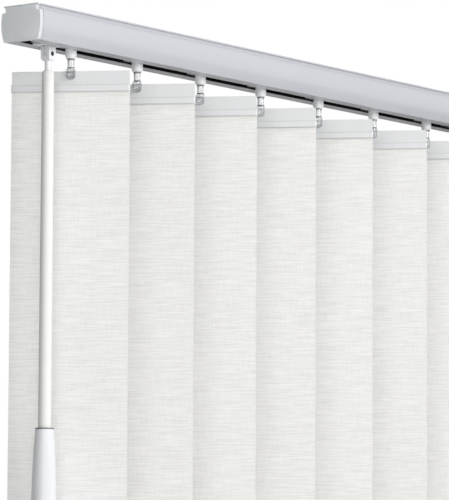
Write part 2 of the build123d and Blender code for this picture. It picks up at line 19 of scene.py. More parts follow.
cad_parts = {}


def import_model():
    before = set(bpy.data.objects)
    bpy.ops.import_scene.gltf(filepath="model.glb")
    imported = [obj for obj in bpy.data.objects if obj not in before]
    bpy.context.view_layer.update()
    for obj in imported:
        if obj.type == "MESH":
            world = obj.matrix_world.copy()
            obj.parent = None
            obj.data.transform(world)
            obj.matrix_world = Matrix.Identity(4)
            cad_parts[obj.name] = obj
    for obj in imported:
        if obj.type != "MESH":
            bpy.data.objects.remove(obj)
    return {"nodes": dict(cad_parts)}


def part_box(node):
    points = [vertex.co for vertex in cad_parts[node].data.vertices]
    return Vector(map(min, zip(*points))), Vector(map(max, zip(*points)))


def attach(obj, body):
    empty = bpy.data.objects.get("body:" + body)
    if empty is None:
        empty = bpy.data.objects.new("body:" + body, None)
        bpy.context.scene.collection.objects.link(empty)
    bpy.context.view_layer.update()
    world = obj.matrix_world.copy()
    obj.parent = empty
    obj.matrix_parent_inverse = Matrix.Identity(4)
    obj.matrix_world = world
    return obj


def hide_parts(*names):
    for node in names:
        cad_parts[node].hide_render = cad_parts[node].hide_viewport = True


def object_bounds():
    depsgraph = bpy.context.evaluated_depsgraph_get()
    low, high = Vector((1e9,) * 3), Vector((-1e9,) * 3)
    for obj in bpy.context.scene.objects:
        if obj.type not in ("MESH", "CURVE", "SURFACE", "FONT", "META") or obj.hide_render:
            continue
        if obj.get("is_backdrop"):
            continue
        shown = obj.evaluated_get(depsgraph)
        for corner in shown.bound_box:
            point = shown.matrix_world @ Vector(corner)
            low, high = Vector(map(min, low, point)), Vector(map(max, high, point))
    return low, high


LOG = logging.getLogger("blind")

MM = 0.001
MERGE = 0.001 * MM
TOUCH = 0.01 * MM
SHARP_ANGLE = math.radians(32)
FLAT_ANGLE = math.radians(0.6)
QUARTER = math.radians(90)
SIDEWAYS = 0.5
VANE_COUNT = 7
REST_ANGLE = math.radians(61)
NOISE_SPREAD = (0.3, 0.7)
RIPPLES_ACROSS = 9.0
RIPPLES_DOWN = 4.0

Point = tuple[float, float]
Place = tuple[float, float, float]
Colour = tuple[float, float, float]


class Slot(Enum):
    """The record's material slots that the pieces take their finish from."""

    RAIL = "rail_aluminium"
    CAP = "cap_plastic"
    STEEL = "clip_steel"
    ROD = "rod_aluminium"
    TRUCK = "truck_plastic"
    ROLLER = "roller_plastic"
    GEAR = "gear_plastic"
    CLEAR = "clear_plastic"
    HANGER = "hanger_plastic"
    FABRIC = "vane_fabric"
    FORK = "fork_plastic"
    WAND = "wand_plastic"
    GRIP = "grip_plastic"


class Shader:
    """One material under construction, with short calls for the nodes that the finishes share."""

    def __init__(self, name: str) -> None:
        """Start a material that holds only a Principled shader.

        Args:
            name: The material's name.
        """
        self.material = bpy.data.materials.new(name)
        self.material.use_nodes = True
        tree = self.material.node_tree
        self.nodes = tree.nodes
        self.links = tree.links
        self.surface = next(n for n in tree.nodes if n.type == "BSDF_PRINCIPLED")

    def set(self, **values: object) -> None:
        """Set sockets of the Principled shader, named with underscores for spaces.

        Args:
            values: The value of each socket.
        """
        for name, value in values.items():
            self.surface.inputs[name.replace("_", " ")].default_value = value

    def coordinates(self, scale: Sequence[float], uv: bool = False) -> bpy.types.NodeSocket:
        """Pattern coordinates, stretched along each axis.

        Args:
            scale: The pattern's repeats in each metre, along each axis.
            uv: True to follow the piece's own UV map, False for object coordinates.

        Returns:
            The socket that gives the stretched coordinates.
        """
        source = self.nodes.new("ShaderNodeTexCoord")
        mapping = self.nodes.new("ShaderNodeMapping")
        mapping.inputs["Scale"].default_value = tuple(scale)
        self.links.new(source.outputs["UV" if uv else "Object"], mapping.inputs["Vector"])
        return mapping.outputs["Vector"]

    def noise(
        self, scale: Sequence[float], detail: float, uv: bool = False, roughness: float = 0.5
    ) -> bpy.types.NodeSocket:
        """A noise pattern.

        Args:
            scale: The pattern's repeats in each metre, along each axis.
            detail: How many finer layers the noise has.
            uv: True to follow the piece's own UV map.
            roughness: How strong the finer layers are.

        Returns:
            The socket that gives the noise, from 0 to 1.
        """
        node = self.nodes.new("ShaderNodeTexNoise")
        node.inputs["Scale"].default_value = 1.0
        node.inputs["Detail"].default_value = detail
        node.inputs["Roughness"].default_value = roughness
        self.links.new(self.coordinates(scale, uv), node.inputs["Vector"])
        return node.outputs["Fac"]

    def remap(
        self, value: bpy.types.NodeSocket, source: Point, target: Point
    ) -> bpy.types.NodeSocket:
        """Stretch a value from one range to another, clamped.

        Args:
            value: The socket to stretch.
            source: The range that is read.
            target: The range that is given.

        Returns:
            The socket that gives the stretched value.
        """
        node = self.nodes.new("ShaderNodeMapRange")
        node.inputs["From Min"].default_value, node.inputs["From Max"].default_value = source
        node.inputs["To Min"].default_value, node.inputs["To Max"].default_value = target
        self.links.new(value, node.inputs["Value"])
        return node.outputs["Result"]

    def combine(
        self, operation: str, first: bpy.types.NodeSocket, second: bpy.types.NodeSocket | float
    ) -> bpy.types.NodeSocket:
        """Join two values with a Math node.

        Args:
            operation: The node's operation, such as ADD or MULTIPLY.
            first: The first value.
            second: The second value, a socket or a number.

        Returns:
            The socket that gives the result.
        """
        node = self.nodes.new("ShaderNodeMath")
        node.operation = operation
        self.links.new(first, node.inputs[0])
        if isinstance(second, (int, float)):
            node.inputs[1].default_value = second
        else:
            self.links.new(second, node.inputs[1])
        return node.outputs["Value"]

    def vary_colour(
        self, pattern: bpy.types.NodeSocket, base: Colour, dark: float, light: float
    ) -> None:
        """Let the base colour follow a pattern.

        Args:
            pattern: The pattern, where 0 gives the darker colour and 1 the lighter.
            base: The colour as such.
            dark: The darker colour's share of it.
            light: The lighter colour's share of it.
        """
        node = self.nodes.new("ShaderNodeMix")
        node.data_type = "RGBA"
        self.links.new(pattern, node.inputs["Factor"])
        node.inputs["A"].default_value = (*shaded(base, dark), 1)
        node.inputs["B"].default_value = (*shaded(base, light), 1)
        mixed = next(o for o in node.outputs if o.type == "RGBA")
        self.links.new(mixed, self.surface.inputs["Base Color"])

    def vary_roughness(self, noise: bpy.types.NodeSocket, middle: float, swing: float) -> None:
        """Let the roughness follow a noise.

        Args:
            noise: The noise.
            middle: The roughness as such.
            swing: How far it goes either way, as a share of itself.
        """
        limits = (middle * (1 - swing), middle * (1 + swing))
        spread = self.remap(noise, NOISE_SPREAD, limits)
        self.links.new(spread, self.surface.inputs["Roughness"])

    def bump(self, height: bpy.types.NodeSocket, depth: float, strength: float) -> None:
        """Raise the surface by a pattern.

        Args:
            height: The pattern, from 0 to 1.
            depth: How far the pattern stands up, in metres.
            strength: How much of the bump shows, from 0 to 1.
        """
        node = self.nodes.new("ShaderNodeBump")
        node.inputs["Distance"].default_value = depth
        node.inputs["Strength"].default_value = strength
        self.links.new(height, node.inputs["Height"])
        self.links.new(node.outputs["Normal"], self.surface.inputs["Normal"])


def shaded(colour: Colour, share: float) -> Colour:
    """A colour made lighter or darker by a share of itself."""
    return tuple(min(1.0, max(0.0, value * share)) for value in colour)


@dataclass(frozen=True)
class MouldedPlastic:
    """Injection-moulded plastic: a faint flow pattern, a fine skin and a soft gloss."""

    name: str
    base: Colour
    roughness: float = 0.35
    mottle: float = 0.03
    milkiness: float = 0.0
    clearness: float = 0.0
    coat: float = 0.0
    specular: float = 0.5
    ior: float = 1.5
    flow_scale: Place = (90.0, 90.0, 60.0)
    skin_scale: float = 2600.0
    skin_depth: float = 0.02 * MM
    skin_strength: float = 0.4
    gloss_swing: float = 0.15
    coat_roughness: float = 0.06
    milk_depth: float = 1.5 * MM

    def build(self) -> bpy.types.Material:
        """Make the material.

        Returns:
            The finished material.
        """
        shader = Shader(self.name)
        flow = shader.remap(shader.noise(self.flow_scale, detail=3), NOISE_SPREAD, (0, 1))
        shader.vary_colour(flow, self.base, 1 - self.mottle, 1 + self.mottle)
        skin = shader.noise((self.skin_scale,) * 3, detail=2)
        shader.vary_roughness(skin, self.roughness, self.gloss_swing)
        shader.bump(skin, self.skin_depth, self.skin_strength)
        shader.set(IOR=self.ior, Specular_IOR_Level=self.specular)
        shader.set(Coat_Weight=self.coat, Coat_Roughness=self.coat_roughness)
        shader.set(Transmission_Weight=self.clearness)
        if self.milkiness:
            shader.set(Subsurface_Weight=self.milkiness, Subsurface_Scale=self.milk_depth)
            shader.set(Subsurface_Radius=(1.0, 1.0, 1.0))
        return shader.material


@dataclass(frozen=True)
class PaintedExtrusion:
    """Powder-coated aluminium: drawing marks along X under a smooth, glossy coat."""

    name: str
    base: Colour
    roughness: float = 0.3
    coat: float = 0.6
    coat_roughness: float = 0.12
    draw_scale: Place = (4.0, 1400.0, 1400.0)
    draw_share: float = 0.4
    peel_scale: Place = (420.0, 420.0, 420.0)
    peel_depth: float = 0.012 * MM
    peel_strength: float = 0.25
    cloud_scale: Place = (9.0, 60.0, 60.0)
    cloudiness: float = 0.015
    gloss_swing: float = 0.1

    def build(self) -> bpy.types.Material:
        """Make the material.

        Returns:
            The finished material.
        """
        shader = Shader(self.name)
        draw = shader.noise(self.draw_scale, detail=3)
        peel = shader.noise(self.peel_scale, detail=2)
        cloud = shader.noise(self.cloud_scale, detail=2)
        cloud = shader.remap(cloud, NOISE_SPREAD, (0, 1))
        shader.vary_colour(cloud, self.base, 1 - self.cloudiness, 1 + self.cloudiness)
        shader.vary_roughness(draw, self.roughness, self.gloss_swing)
        height = shader.combine("ADD", shader.combine("MULTIPLY", draw, self.draw_share), peel)
        shader.bump(height, self.peel_depth, self.peel_strength)
        shader.set(Coat_Weight=self.coat, Coat_Roughness=self.coat_roughness)
        return shader.material


@dataclass(frozen=True)
class BareMetal:
    """Plated steel or mill aluminium with fine brushing along X."""

    name: str
    base: Colour
    roughness: float = 0.32
    brush_scale: Place = (30.0, 2600.0, 2600.0)
    brush_depth: float = 0.008 * MM
    brush_strength: float = 0.4
    spangle_scale: Place = (160.0, 160.0, 160.0)
    spangle_shades: Point = (0.93, 1.05)
    gloss_swing: float = 0.25

    def build(self) -> bpy.types.Material:
        """Make the material.

        Returns:
            The finished material.
        """
        shader = Shader(self.name)
        brush = shader.noise(self.brush_scale, detail=3)
        spangle = shader.noise(self.spangle_scale, detail=1)
        shader.vary_colour(spangle, self.base, *self.spangle_shades)
        shader.vary_roughness(brush, self.roughness, self.gloss_swing)
        shader.bump(brush, self.brush_depth, self.brush_strength)
        shader.set(Metallic=1.0)
        return shader.material


@dataclass(frozen=True)
class SlubFabric:
    """Stiffened polyester cloth with slub threads across the vane and finer ones down it."""

    name: str
    base: Colour
    slub_length: float = 26 * MM
    slub_pitch: float = 1.35 * MM
    slub_roughness: float = 0.7
    slub_range: Point = (0.36, 0.62)
    slub_share: float = 0.78
    warp_length: float = 14 * MM
    warp_pitch: float = 1.1 * MM
    warp_range: Point = (0.62, 0.42)
    thread_pitch: float = 0.55 * MM
    thread_stretch: float = 0.2
    thread_share: float = 0.35
    shades: Point = (0.91, 1.06)
    relief: float = 0.16 * MM
    relief_strength: float = 0.55

    def build(self) -> bpy.types.Material:
        """Make the material.

        Returns:
            The finished material.
        """
        shader = Shader(self.name)
        slub_scale = (1 / self.slub_length, 1 / self.slub_pitch, 1)
        weft = shader.noise(slub_scale, detail=3, uv=True, roughness=self.slub_roughness)
        warp_scale = (1 / self.warp_pitch, 1 / self.warp_length, 1)
        warp = shader.noise(warp_scale, detail=2, uv=True)
        fine, coarse = 1 / self.thread_pitch, self.thread_stretch / self.thread_pitch
        thread = shader.noise((coarse, fine, 1), detail=1, uv=True)
        cross = shader.noise((fine, coarse, 1), detail=1, uv=True)
        slubs = shader.remap(weft, self.slub_range, (0, 1))
        lines = shader.remap(warp, self.warp_range, (0, 1))
        pattern = shader.combine("MULTIPLY", slubs, self.slub_share)
        lines = shader.combine("MULTIPLY", lines, 1 - self.slub_share)
        pattern = shader.combine("ADD", pattern, lines)
        shader.vary_colour(pattern, self.base, *self.shades)
        weave = shader.combine("MULTIPLY", shader.combine("ADD", thread, cross), self.thread_share)
        shader.bump(shader.combine("ADD", pattern, weave), self.relief, self.relief_strength)
        shader.set(Roughness=0.82, Sheen_Weight=0.12, Sheen_Roughness=0.45)
        shader.set(Specular_IOR_Level=0.25)
        return shader.material


@dataclass(frozen=True)
class SewingThread:
    """Twisted polyester thread, a little brighter than the cloth."""

    name: str
    base: Colour
    twist_scale: Place = (3000.0, 3000.0, 1500.0)
    twist_shade: float = 0.8
    twist_depth: float = 0.04 * MM
    twist_strength: float = 0.6

    def build(self) -> bpy.types.Material:
        """Make the material.

        Returns:
            The finished material.
        """
        shader = Shader(self.name)
        twist = shader.noise(self.twist_scale, detail=1)
        shader.vary_colour(twist, self.base, self.twist_shade, 1.0)
        shader.bump(twist, self.twist_depth, self.twist_strength)
        shader.set(Roughness=0.7, Sheen_Weight=0.2)
        return shader.material


@dataclass(frozen=True)
class StudioFloor:
    """The plain pale floor under the blind."""

    name: str
    base: Colour

    def build(self) -> bpy.types.Material:
        """Make the material.

        Returns:
            The finished material.
        """
        shader = Shader(self.name)
        shader.set(Base_Color=(*self.base, 1), Roughness=0.9, Specular_IOR_Level=0.1)
        return shader.material


class Palette:
    """The finished materials, by the record's slot."""

    def __init__(self) -> None:
        """Build every material once."""
        finishes = {
            Slot.RAIL: PaintedExtrusion("rail_coat", (0.53, 0.54, 0.575)),
            Slot.CAP: MouldedPlastic("cap_face", (0.83, 0.865, 0.885), 0.38, coat=0.3),
            Slot.STEEL: BareMetal("zinc_plate", (0.62, 0.63, 0.64)),
            Slot.ROD: BareMetal("mill_aluminium", (0.72, 0.73, 0.74), 0.38),
            Slot.TRUCK: MouldedPlastic(
                "milky_moulding", (0.91, 0.92, 0.935), 0.32, milkiness=0.15, coat=0.2
            ),
            Slot.ROLLER: MouldedPlastic("roller_moulding", (0.80, 0.80, 0.78), 0.4),
            Slot.GEAR: MouldedPlastic("gear_moulding", (0.78, 0.79, 0.79), 0.36, milkiness=0.2),
            Slot.CLEAR: MouldedPlastic(
                "clear_moulding", (0.70, 0.715, 0.725), 0.06, 0.01, clearness=0.88
            ),
            Slot.HANGER: MouldedPlastic("hanger_moulding", (0.735, 0.745, 0.75), 0.45, 0.015),
            Slot.FORK: MouldedPlastic("fork_moulding", (0.80, 0.81, 0.825), 0.32, milkiness=0.1),
            Slot.WAND: MouldedPlastic("wand_satin", (0.80, 0.81, 0.785), 0.4, 0.01, specular=0.1),
            Slot.GRIP: MouldedPlastic("grip_gloss", (0.76, 0.775, 0.795), 0.16, 0.01, specular=0.2),
            Slot.FABRIC: SlubFabric("slub_cloth", (0.87, 0.865, 0.845)),
        }
        self.materials = {slot: finish.build() for slot, finish in finishes.items()}
        self.thread = SewingThread("hem_thread", (0.84, 0.84, 0.82)).build()
        # Near-black painted shade for the slot's edges and the rail's cavity, where the inside lies
        # in shadow.
        self.cavity = BareMetal("painted_cavity_shade", (0.035, 0.036, 0.042), 0.5).build()
        # Dark grey for thin rings of painted shade: at the stem's waist and where the wand's tube
        # enters the grip.
        self.ring_shade = MouldedPlastic("painted_ring_shade", (0.20, 0.205, 0.21), 0.2).build()
        # Darker grey for thin strips of painted shade along the top and foot of each hanger's ridge.
        self.seam = MouldedPlastic("painted_shade_line", (0.62, 0.63, 0.635), 0.5).build()
        # Painted shade: the caps' rim is the same plastic as their face, made darker so that it reads
        # as shaded.
        self.cap_rim_shade = MouldedPlastic("cap_rim_shade", (0.66, 0.67, 0.69), 0.45).build()
        self.blackened = BareMetal("blackened_steel", (0.06, 0.06, 0.065), 0.4).build()

    def __getitem__(self, slot: Slot) -> bpy.types.Material:
        """The material of a slot."""
        return self.materials[slot]


def arc_through(first: Point, middle: Point, last: Point, steps: int) -> list[Point]:
    """Points of the arc through three points, ends included.

    Args:
        first: Where the arc starts.
        middle: A point on the arc.
        last: Where the arc ends.
        steps: How many pieces the arc is cut into.

    Returns:
        The arc's points.
    """
    (ax, ay), (bx, by), (cx, cy) = first, middle, last
    spread = 2 * (ax * (by - cy) + bx * (cy - ay) + cx * (ay - by))
    a2, b2, c2 = ax * ax + ay * ay, bx * bx + by * by, cx * cx + cy * cy
    ox = (a2 * (by - cy) + b2 * (cy - ay) + c2 * (ay - by)) / spread
    oy = (a2 * (cx - bx) + b2 * (ax - cx) + c2 * (bx - ax)) / spread
    radius = math.hypot(ax - ox, ay - oy)
    start = math.atan2(ay - oy, ax - ox)
    turn = math.atan2(cy - oy, cx - ox) - start
    through = (math.atan2(by - oy, bx - ox) - start) % math.tau
    turn %= math.tau
    if through > turn:
        turn -= math.tau
    angles = [start + turn * step / steps for step in range(steps + 1)]
    return [(ox + radius * math.cos(a), oy + radius * math.sin(a)) for a in angles]


def rounded(corners: Sequence[tuple[float, float, float]], steps: int = 4) -> list[Point]:
    """Round the corners of an open line.

    Args:
        corners: Each corner and its radius.
        steps: How many pieces each rounding is cut into.

    Returns:
        The rounded line's points.
    """
    points: list[Point] = []
    for index, (x, y, radius) in enumerate(corners):
        if radius <= 0 or index in (0, len(corners) - 1):
            points.append((x, y))
            continue
        corner = Vector((x, y))
        before = (Vector(corners[index - 1][:2]) - corner).normalized()
        after = (Vector(corners[index + 1][:2]) - corner).normalized()
        half = before.angle(after) / 2
        reach = radius / math.tan(half)
        centre = corner + (before + after).normalized() * (radius / math.sin(half))
        middle = centre + (corner - centre).normalized() * radius
        start, end = corner + before * reach, corner + after * reach
        points.extend(arc_through(tuple(start), tuple(middle), tuple(end), steps))
    return points


def mirrored(line: Sequence[Point]) -> list[Point]:
    """A line's image on the other side of its upright axis, run backwards."""
    return [(-across, level) for across, level in reversed(line)]


def finish_mesh(bm: bmesh.types.BMesh, name: str) -> bpy.types.Mesh:
    """Close a bmesh into a smooth-shaded mesh with its sharp edges marked.

    Args:
        bm: The bmesh, which is freed.
        name: The mesh's name.

    Returns:
        The mesh.
    """
    mesh = bpy.data.meshes.new(name)
    bm.to_mesh(mesh)
    bm.free()
    mesh.shade_smooth()
    mesh.set_sharp_from_angle(angle=SHARP_ANGLE)
    return mesh


def piece_from(mesh: bpy.types.Mesh, material: bpy.types.Material) -> bpy.types.Object:
    """Show a mesh as a piece with one material.

    Args:
        mesh: The piece's mesh, already in its place.
        material: The piece's material.

    Returns:
        The piece.
    """
    if mesh.materials:
        mesh.materials.clear()
    mesh.materials.append(material)
    piece = bpy.data.objects.new(mesh.name, mesh)
    bpy.context.scene.collection.objects.link(piece)
    return piece


def shown(
    bm: bmesh.types.BMesh, name: str, material: bpy.types.Material
) -> bpy.types.Object:
    """Show a form, which is freed, as a piece with one material."""
    return piece_from(finish_mesh(bm, name), material)


def baked(piece: bpy.types.Object, name: str) -> bpy.types.Mesh:
    """Apply a piece's modifiers and remove it.

    Args:
        piece: The piece with its modifiers.
        name: The new mesh's name.

    Returns:
        The plain mesh.
    """
    graph = bpy.context.evaluated_depsgraph_get()
    mesh = bpy.data.meshes.new_from_object(piece.evaluated_get(graph))
    bpy.data.objects.remove(piece)
    mesh.name = name
    return mesh


def settle(
    piece: bpy.types.Object, body: str, replaced: Sequence[str] = ()
) -> bpy.types.Object:
    """Fix a finished piece to its body and the nodes that it stands for.

    Args:
        piece: The piece, in its place.
        body: The body that carries it.
        replaced: The nodes that it replaces.

    Returns:
        The same piece.
    """
    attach(piece, body)
    if replaced:
        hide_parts(*replaced)
    LOG.info("%s rides on %s, %d faces", piece.name, body, len(piece.data.polygons))
    return piece


def lathe(profile: Sequence[Point], centre: Point, segments: int = 64) -> bmesh.types.BMesh:
    """Turn a profile of radii and levels about an upright axis.

    Args:
        profile: The radius and the level of each point; a radius of 0 closes an end.
        centre: The axis's place.
        segments: How many sides the turned form has.

    Returns:
        The turned form.
    """
    bm = bmesh.new()
    turns = [math.tau * index / segments for index in range(segments)]
    x, y = centre
    rings = []
    for radius, level in profile:
        if radius <= 0:
            rings.append([bm.verts.new((x, y, level))])
            continue
        places = [(x + radius * math.cos(t), y + radius * math.sin(t), level) for t in turns]
        rings.append([bm.verts.new(place) for place in places])
    for low, high in zip(rings, rings[1:]):
        for index in range(segments):
            after = (index + 1) % segments
            corners = [
                low[index % len(low)], low[after % len(low)],
                high[after % len(high)], high[index % len(high)],
            ]
            unique = list(dict.fromkeys(corners))
            if len(unique) > 2:
                bm.faces.new(unique)
    bmesh.ops.recalc_face_normals(bm, faces=bm.faces)
    return bm


def ring(
    centre: Point, reach: float, level: float, radius: float, sides: int, segments: int
) -> bmesh.types.BMesh:
    """A round ring about an upright axis.

    Args:
        centre: The axis's place.
        reach: The radius of the ring's own middle line.
        level: The ring's level.
        radius: The radius of its section.
        sides: How many sides the section has.
        segments: How many sides the ring has about the axis.

    Returns:
        The ring.
    """
    turns = [math.tau * side / sides for side in range(sides + 1)]
    section = [(reach + radius * math.cos(t), level + radius * math.sin(t)) for t in turns]
    bm = lathe(section, centre, segments)
    bmesh.ops.remove_doubles(bm, verts=bm.verts, dist=MERGE)
    bmesh.ops.recalc_face_normals(bm, faces=bm.faces)
    return bm


def run_along_x(loop: Sequence[Point], x_from: float, x_to: float) -> bmesh.types.BMesh:
    """Run a closed outline, drawn in (Y, Z), along X.

    Args:
        loop: The outline's points.
        x_from: Where the run starts.
        x_to: Where the run ends.

    Returns:
        The closed run.
    """
    bm = bmesh.new()
    rings = [[bm.verts.new((x, y, z)) for y, z in loop] for x in (x_from, x_to)]
    count = len(loop)
    for index in range(count):
        after = (index + 1) % count
        bm.faces.new((rings[0][index], rings[0][after], rings[1][after], rings[1][index]))
    bm.faces.new(rings[0])
    bm.faces.new(rings[1])
    bmesh.ops.recalc_face_normals(bm, faces=bm.faces)
    return bm


def joined(forms: Iterable[bmesh.types.BMesh]) -> bmesh.types.BMesh:
    """Gather several forms in one.

    Args:
        forms: The forms, each of which is freed.

    Returns:
        The gathered form.
    """
    whole = bmesh.new()
    for form in forms:
        mesh = bpy.data.meshes.new("part")
        form.to_mesh(mesh)
        form.free()
        whole.from_mesh(mesh)
        bpy.data.meshes.remove(mesh)
    return whole


def clean_copy(node: bpy.types.Object) -> bmesh.types.BMesh:
    """A merged copy of a node's loose triangles, with its flat faces whole.

    Args:
        node: The CAD node.

    Returns:
        The merged copy.
    """
    bm = bmesh.new()
    bm.from_mesh(node.data)
    bmesh.ops.remove_doubles(bm, verts=bm.verts, dist=MERGE)
    bmesh.ops.dissolve_limit(bm, angle_limit=FLAT_ANGLE, verts=bm.verts, edges=bm.edges)
    return bm


def rounded_piece(
    bm: bmesh.types.BMesh, name: str, material: bpy.types.Material, width: float
) -> bpy.types.Object:
    """A piece with softly rounded moulded edges.

    Args:
        bm: The piece's form, which is freed.
        name: The piece's name.
        material: The piece's material.
        width: How wide the rounding of a sharp edge is.

    Returns:
        The piece.
    """
    piece = shown(bm, f"{name}_rough", material)
    bevel = piece.modifiers.new("edges", "BEVEL")
    bevel.width = width
    bevel.segments = 2
    bevel.limit_method = "ANGLE"
    bevel.angle_limit = SHARP_ANGLE
    bevel.harden_normals = True
    return piece_from(baked(piece, name), material)


class Tree:
    """A Geometry Nodes tree with named inputs, under construction."""

    KINDS = {
        float: "NodeSocketFloat", int: "NodeSocketInt", bpy.types.Material: "NodeSocketMaterial"
    }

    def __init__(self, name: str, inputs: dict[str, type]) -> None:
        """Start a tree.

        Args:
            name: The tree's name.
            inputs: The kind of each named input.
        """
        self.group = bpy.data.node_groups.new(name, "GeometryNodeTree")
        face = self.group.interface
        face.new_socket("Geometry", in_out="INPUT", socket_type="NodeSocketGeometry")
        face.new_socket("Geometry", in_out="OUTPUT", socket_type="NodeSocketGeometry")
        for title, kind in inputs.items():
            face.new_socket(title, in_out="INPUT", socket_type=self.KINDS[kind])
        self.source = self.group.nodes.new("NodeGroupInput")
        self.result = self.group.nodes.new("NodeGroupOutput")

    def node(self, kind: str, links: dict[object, object], **settings: object) -> bpy.types.Node:
        """Add a node.

        Args:
            kind: The node's type.
            links: What feeds each input: a socket, or a plain value.
            settings: The node's own settings.

        Returns:
            The node.
        """
        node = self.group.nodes.new(kind)
        for title, value in settings.items():
            setattr(node, title, value)
        for title, value in links.items():
            if isinstance(value, bpy.types.NodeSocket):
                self.group.links.new(value, node.inputs[title])
            else:
                node.inputs[title].default_value = value
        return node

    def maths(self, operation: str, first: object, second: object = 0.0) -> bpy.types.NodeSocket:
        """The result of a Math node on two sockets or numbers."""
        return self.node("ShaderNodeMath", {0: first, 1: second}, operation=operation).outputs[0]

    def input(self, title: str) -> bpy.types.NodeSocket:
        """The socket of a named input."""
        return self.source.outputs[title]

    def close(self, geometry: bpy.types.NodeSocket) -> None:
        """End the tree in Realize Instances and Set Material.

        Args:
            geometry: The geometry that the tree makes.
        """
        whole = self.node("GeometryNodeRealizeInstances", {"Geometry": geometry}).outputs[0]
        last = self.node(
            "GeometryNodeSetMaterial", {"Geometry": whole, "Material": self.input("Material")}
        ).outputs[0]
        self.group.links.new(last, self.result.inputs["Geometry"])

    def run(self, mesh: bpy.types.Mesh, name: str, values: dict[str, object]) -> bpy.types.Mesh:
        """Run the tree on a mesh.

        Args:
            mesh: The mesh that the tree starts from.
            name: The result's name.
            values: The value of each named input.

        Returns:
            The plain mesh that the tree makes.
        """
        holder = bpy.data.objects.new(f"{name}_source", mesh)
        bpy.context.scene.collection.objects.link(holder)
        modifier = holder.modifiers.new("tree", "NODES")
        modifier.node_group = self.group
        sockets = {
            item.name: item.identifier
            for item in self.group.interface.items_tree
            if item.in_out == "INPUT"
        }
        for title, value in values.items():
            modifier[sockets[title]] = value
        return baked(holder, name)


def add_sway(
    tree: Tree, across: bpy.types.NodeSocket, level: bpy.types.NodeSocket
) -> bpy.types.NodeSocket:
    """How far hanging cloth leaves its plane: a slight bow and slow ripples.

    Args:
        tree: The tree that needs it, with inputs Bow, Ripple, Width and Seed.
        across: The place across the vane, 0 at its middle.
        level: The height above the origin.

    Returns:
        The socket that gives the offset out of the vane's plane.
    """
    share = tree.maths("DIVIDE", across, tree.input("Width"))
    square = tree.maths("MULTIPLY", share, share)
    bow = tree.maths("MULTIPLY", square, tree.input("Bow"))
    where = tree.node(
        "ShaderNodeCombineXYZ",
        {
            0: tree.maths("MULTIPLY", across, RIPPLES_ACROSS),
            1: tree.maths("MULTIPLY", level, RIPPLES_DOWN),
        },
    ).outputs[0]
    noise = tree.node(
        "ShaderNodeTexNoise",
        {"Vector": where, "W": tree.input("Seed"), "Scale": 1.0, "Detail": 1.0},
        noise_dimensions="4D",
    ).outputs[0]
    ripple = tree.maths("MULTIPLY", tree.maths("SUBTRACT", noise, 0.5), tree.input("Ripple"))
    return tree.maths("ADD", bow, ripple)


def cloth_tree() -> Tree:
    """The tree that gives a flat vane its bow and ripples, held flat at the hanger."""
    tree = Tree("vane_sway", {"Width": float, "Bow": float, "Ripple": float, "Seed": float,
                              "Top": float, "Fade": float, "Material": bpy.types.Material})
    place = tree.node("GeometryNodeInputPosition", {}).outputs[0]
    parts = tree.node("ShaderNodeSeparateXYZ", {0: place}).outputs
    sway = add_sway(tree, parts[0], parts[2])
    drop = tree.maths("SUBTRACT", tree.input("Top"), parts[2])
    faded = tree.maths("DIVIDE", drop, tree.input("Fade"))
    hold = tree.node("ShaderNodeClamp", {"Value": faded}).outputs[0]
    offset = tree.node("ShaderNodeCombineXYZ", {1: tree.maths("MULTIPLY", sway, hold)}).outputs[0]
    moved = tree.node(
        "GeometryNodeSetPosition", {"Geometry": tree.input("Geometry"), "Offset": offset}
    ).outputs[0]
    tree.close(moved)
    return tree


def stitch_tree() -> Tree:
    """The tree that sews a row of stitches across a vane, on the same swayed surface."""
    tree = Tree("hem_stitches", {"Width": float, "Bow": float, "Ripple": float, "Seed": float,
                                 "Level": float, "Stand": float, "Count": int, "Length": float,
                                 "Radius": float, "Material": bpy.types.Material})
    pitch = tree.maths("DIVIDE", tree.input("Width"), tree.input("Count"))
    start = tree.maths("MULTIPLY", tree.maths("SUBTRACT", pitch, tree.input("Width")), 0.5)
    line = tree.node(
        "GeometryNodeMeshLine",
        {
            "Count": tree.input("Count"),
            "Start Location": tree.node("ShaderNodeCombineXYZ", {0: start}).outputs[0],
            "Offset": tree.node("ShaderNodeCombineXYZ", {0: pitch}).outputs[0],
        },
    ).outputs[0]
    place = tree.node("GeometryNodeInputPosition", {}).outputs[0]
    across = tree.node("ShaderNodeSeparateXYZ", {0: place}).outputs[0]
    sway = tree.maths("ADD", add_sway(tree, across, tree.input("Level")), tree.input("Stand"))
    offset = tree.node("ShaderNodeCombineXYZ", {1: sway, 2: tree.input("Level")}).outputs[0]
    laid = tree.node("GeometryNodeSetPosition", {"Geometry": line, "Offset": offset}).outputs[0]
    stitch = tree.node(
        "GeometryNodeMeshCylinder",
        {
            "Vertices": 6,
            "Side Segments": 3,
            "Radius": tree.input("Radius"),
            "Depth": tree.input("Length"),
        },
        fill_type="TRIANGLE_FAN",
    ).outputs[0]
    dots = tree.node(
        "GeometryNodeInstanceOnPoints",
        {"Points": laid, "Instance": stitch, "Rotation": (0.0, QUARTER, 0.0)},
    ).outputs[0]
    tree.close(dots)
    return tree


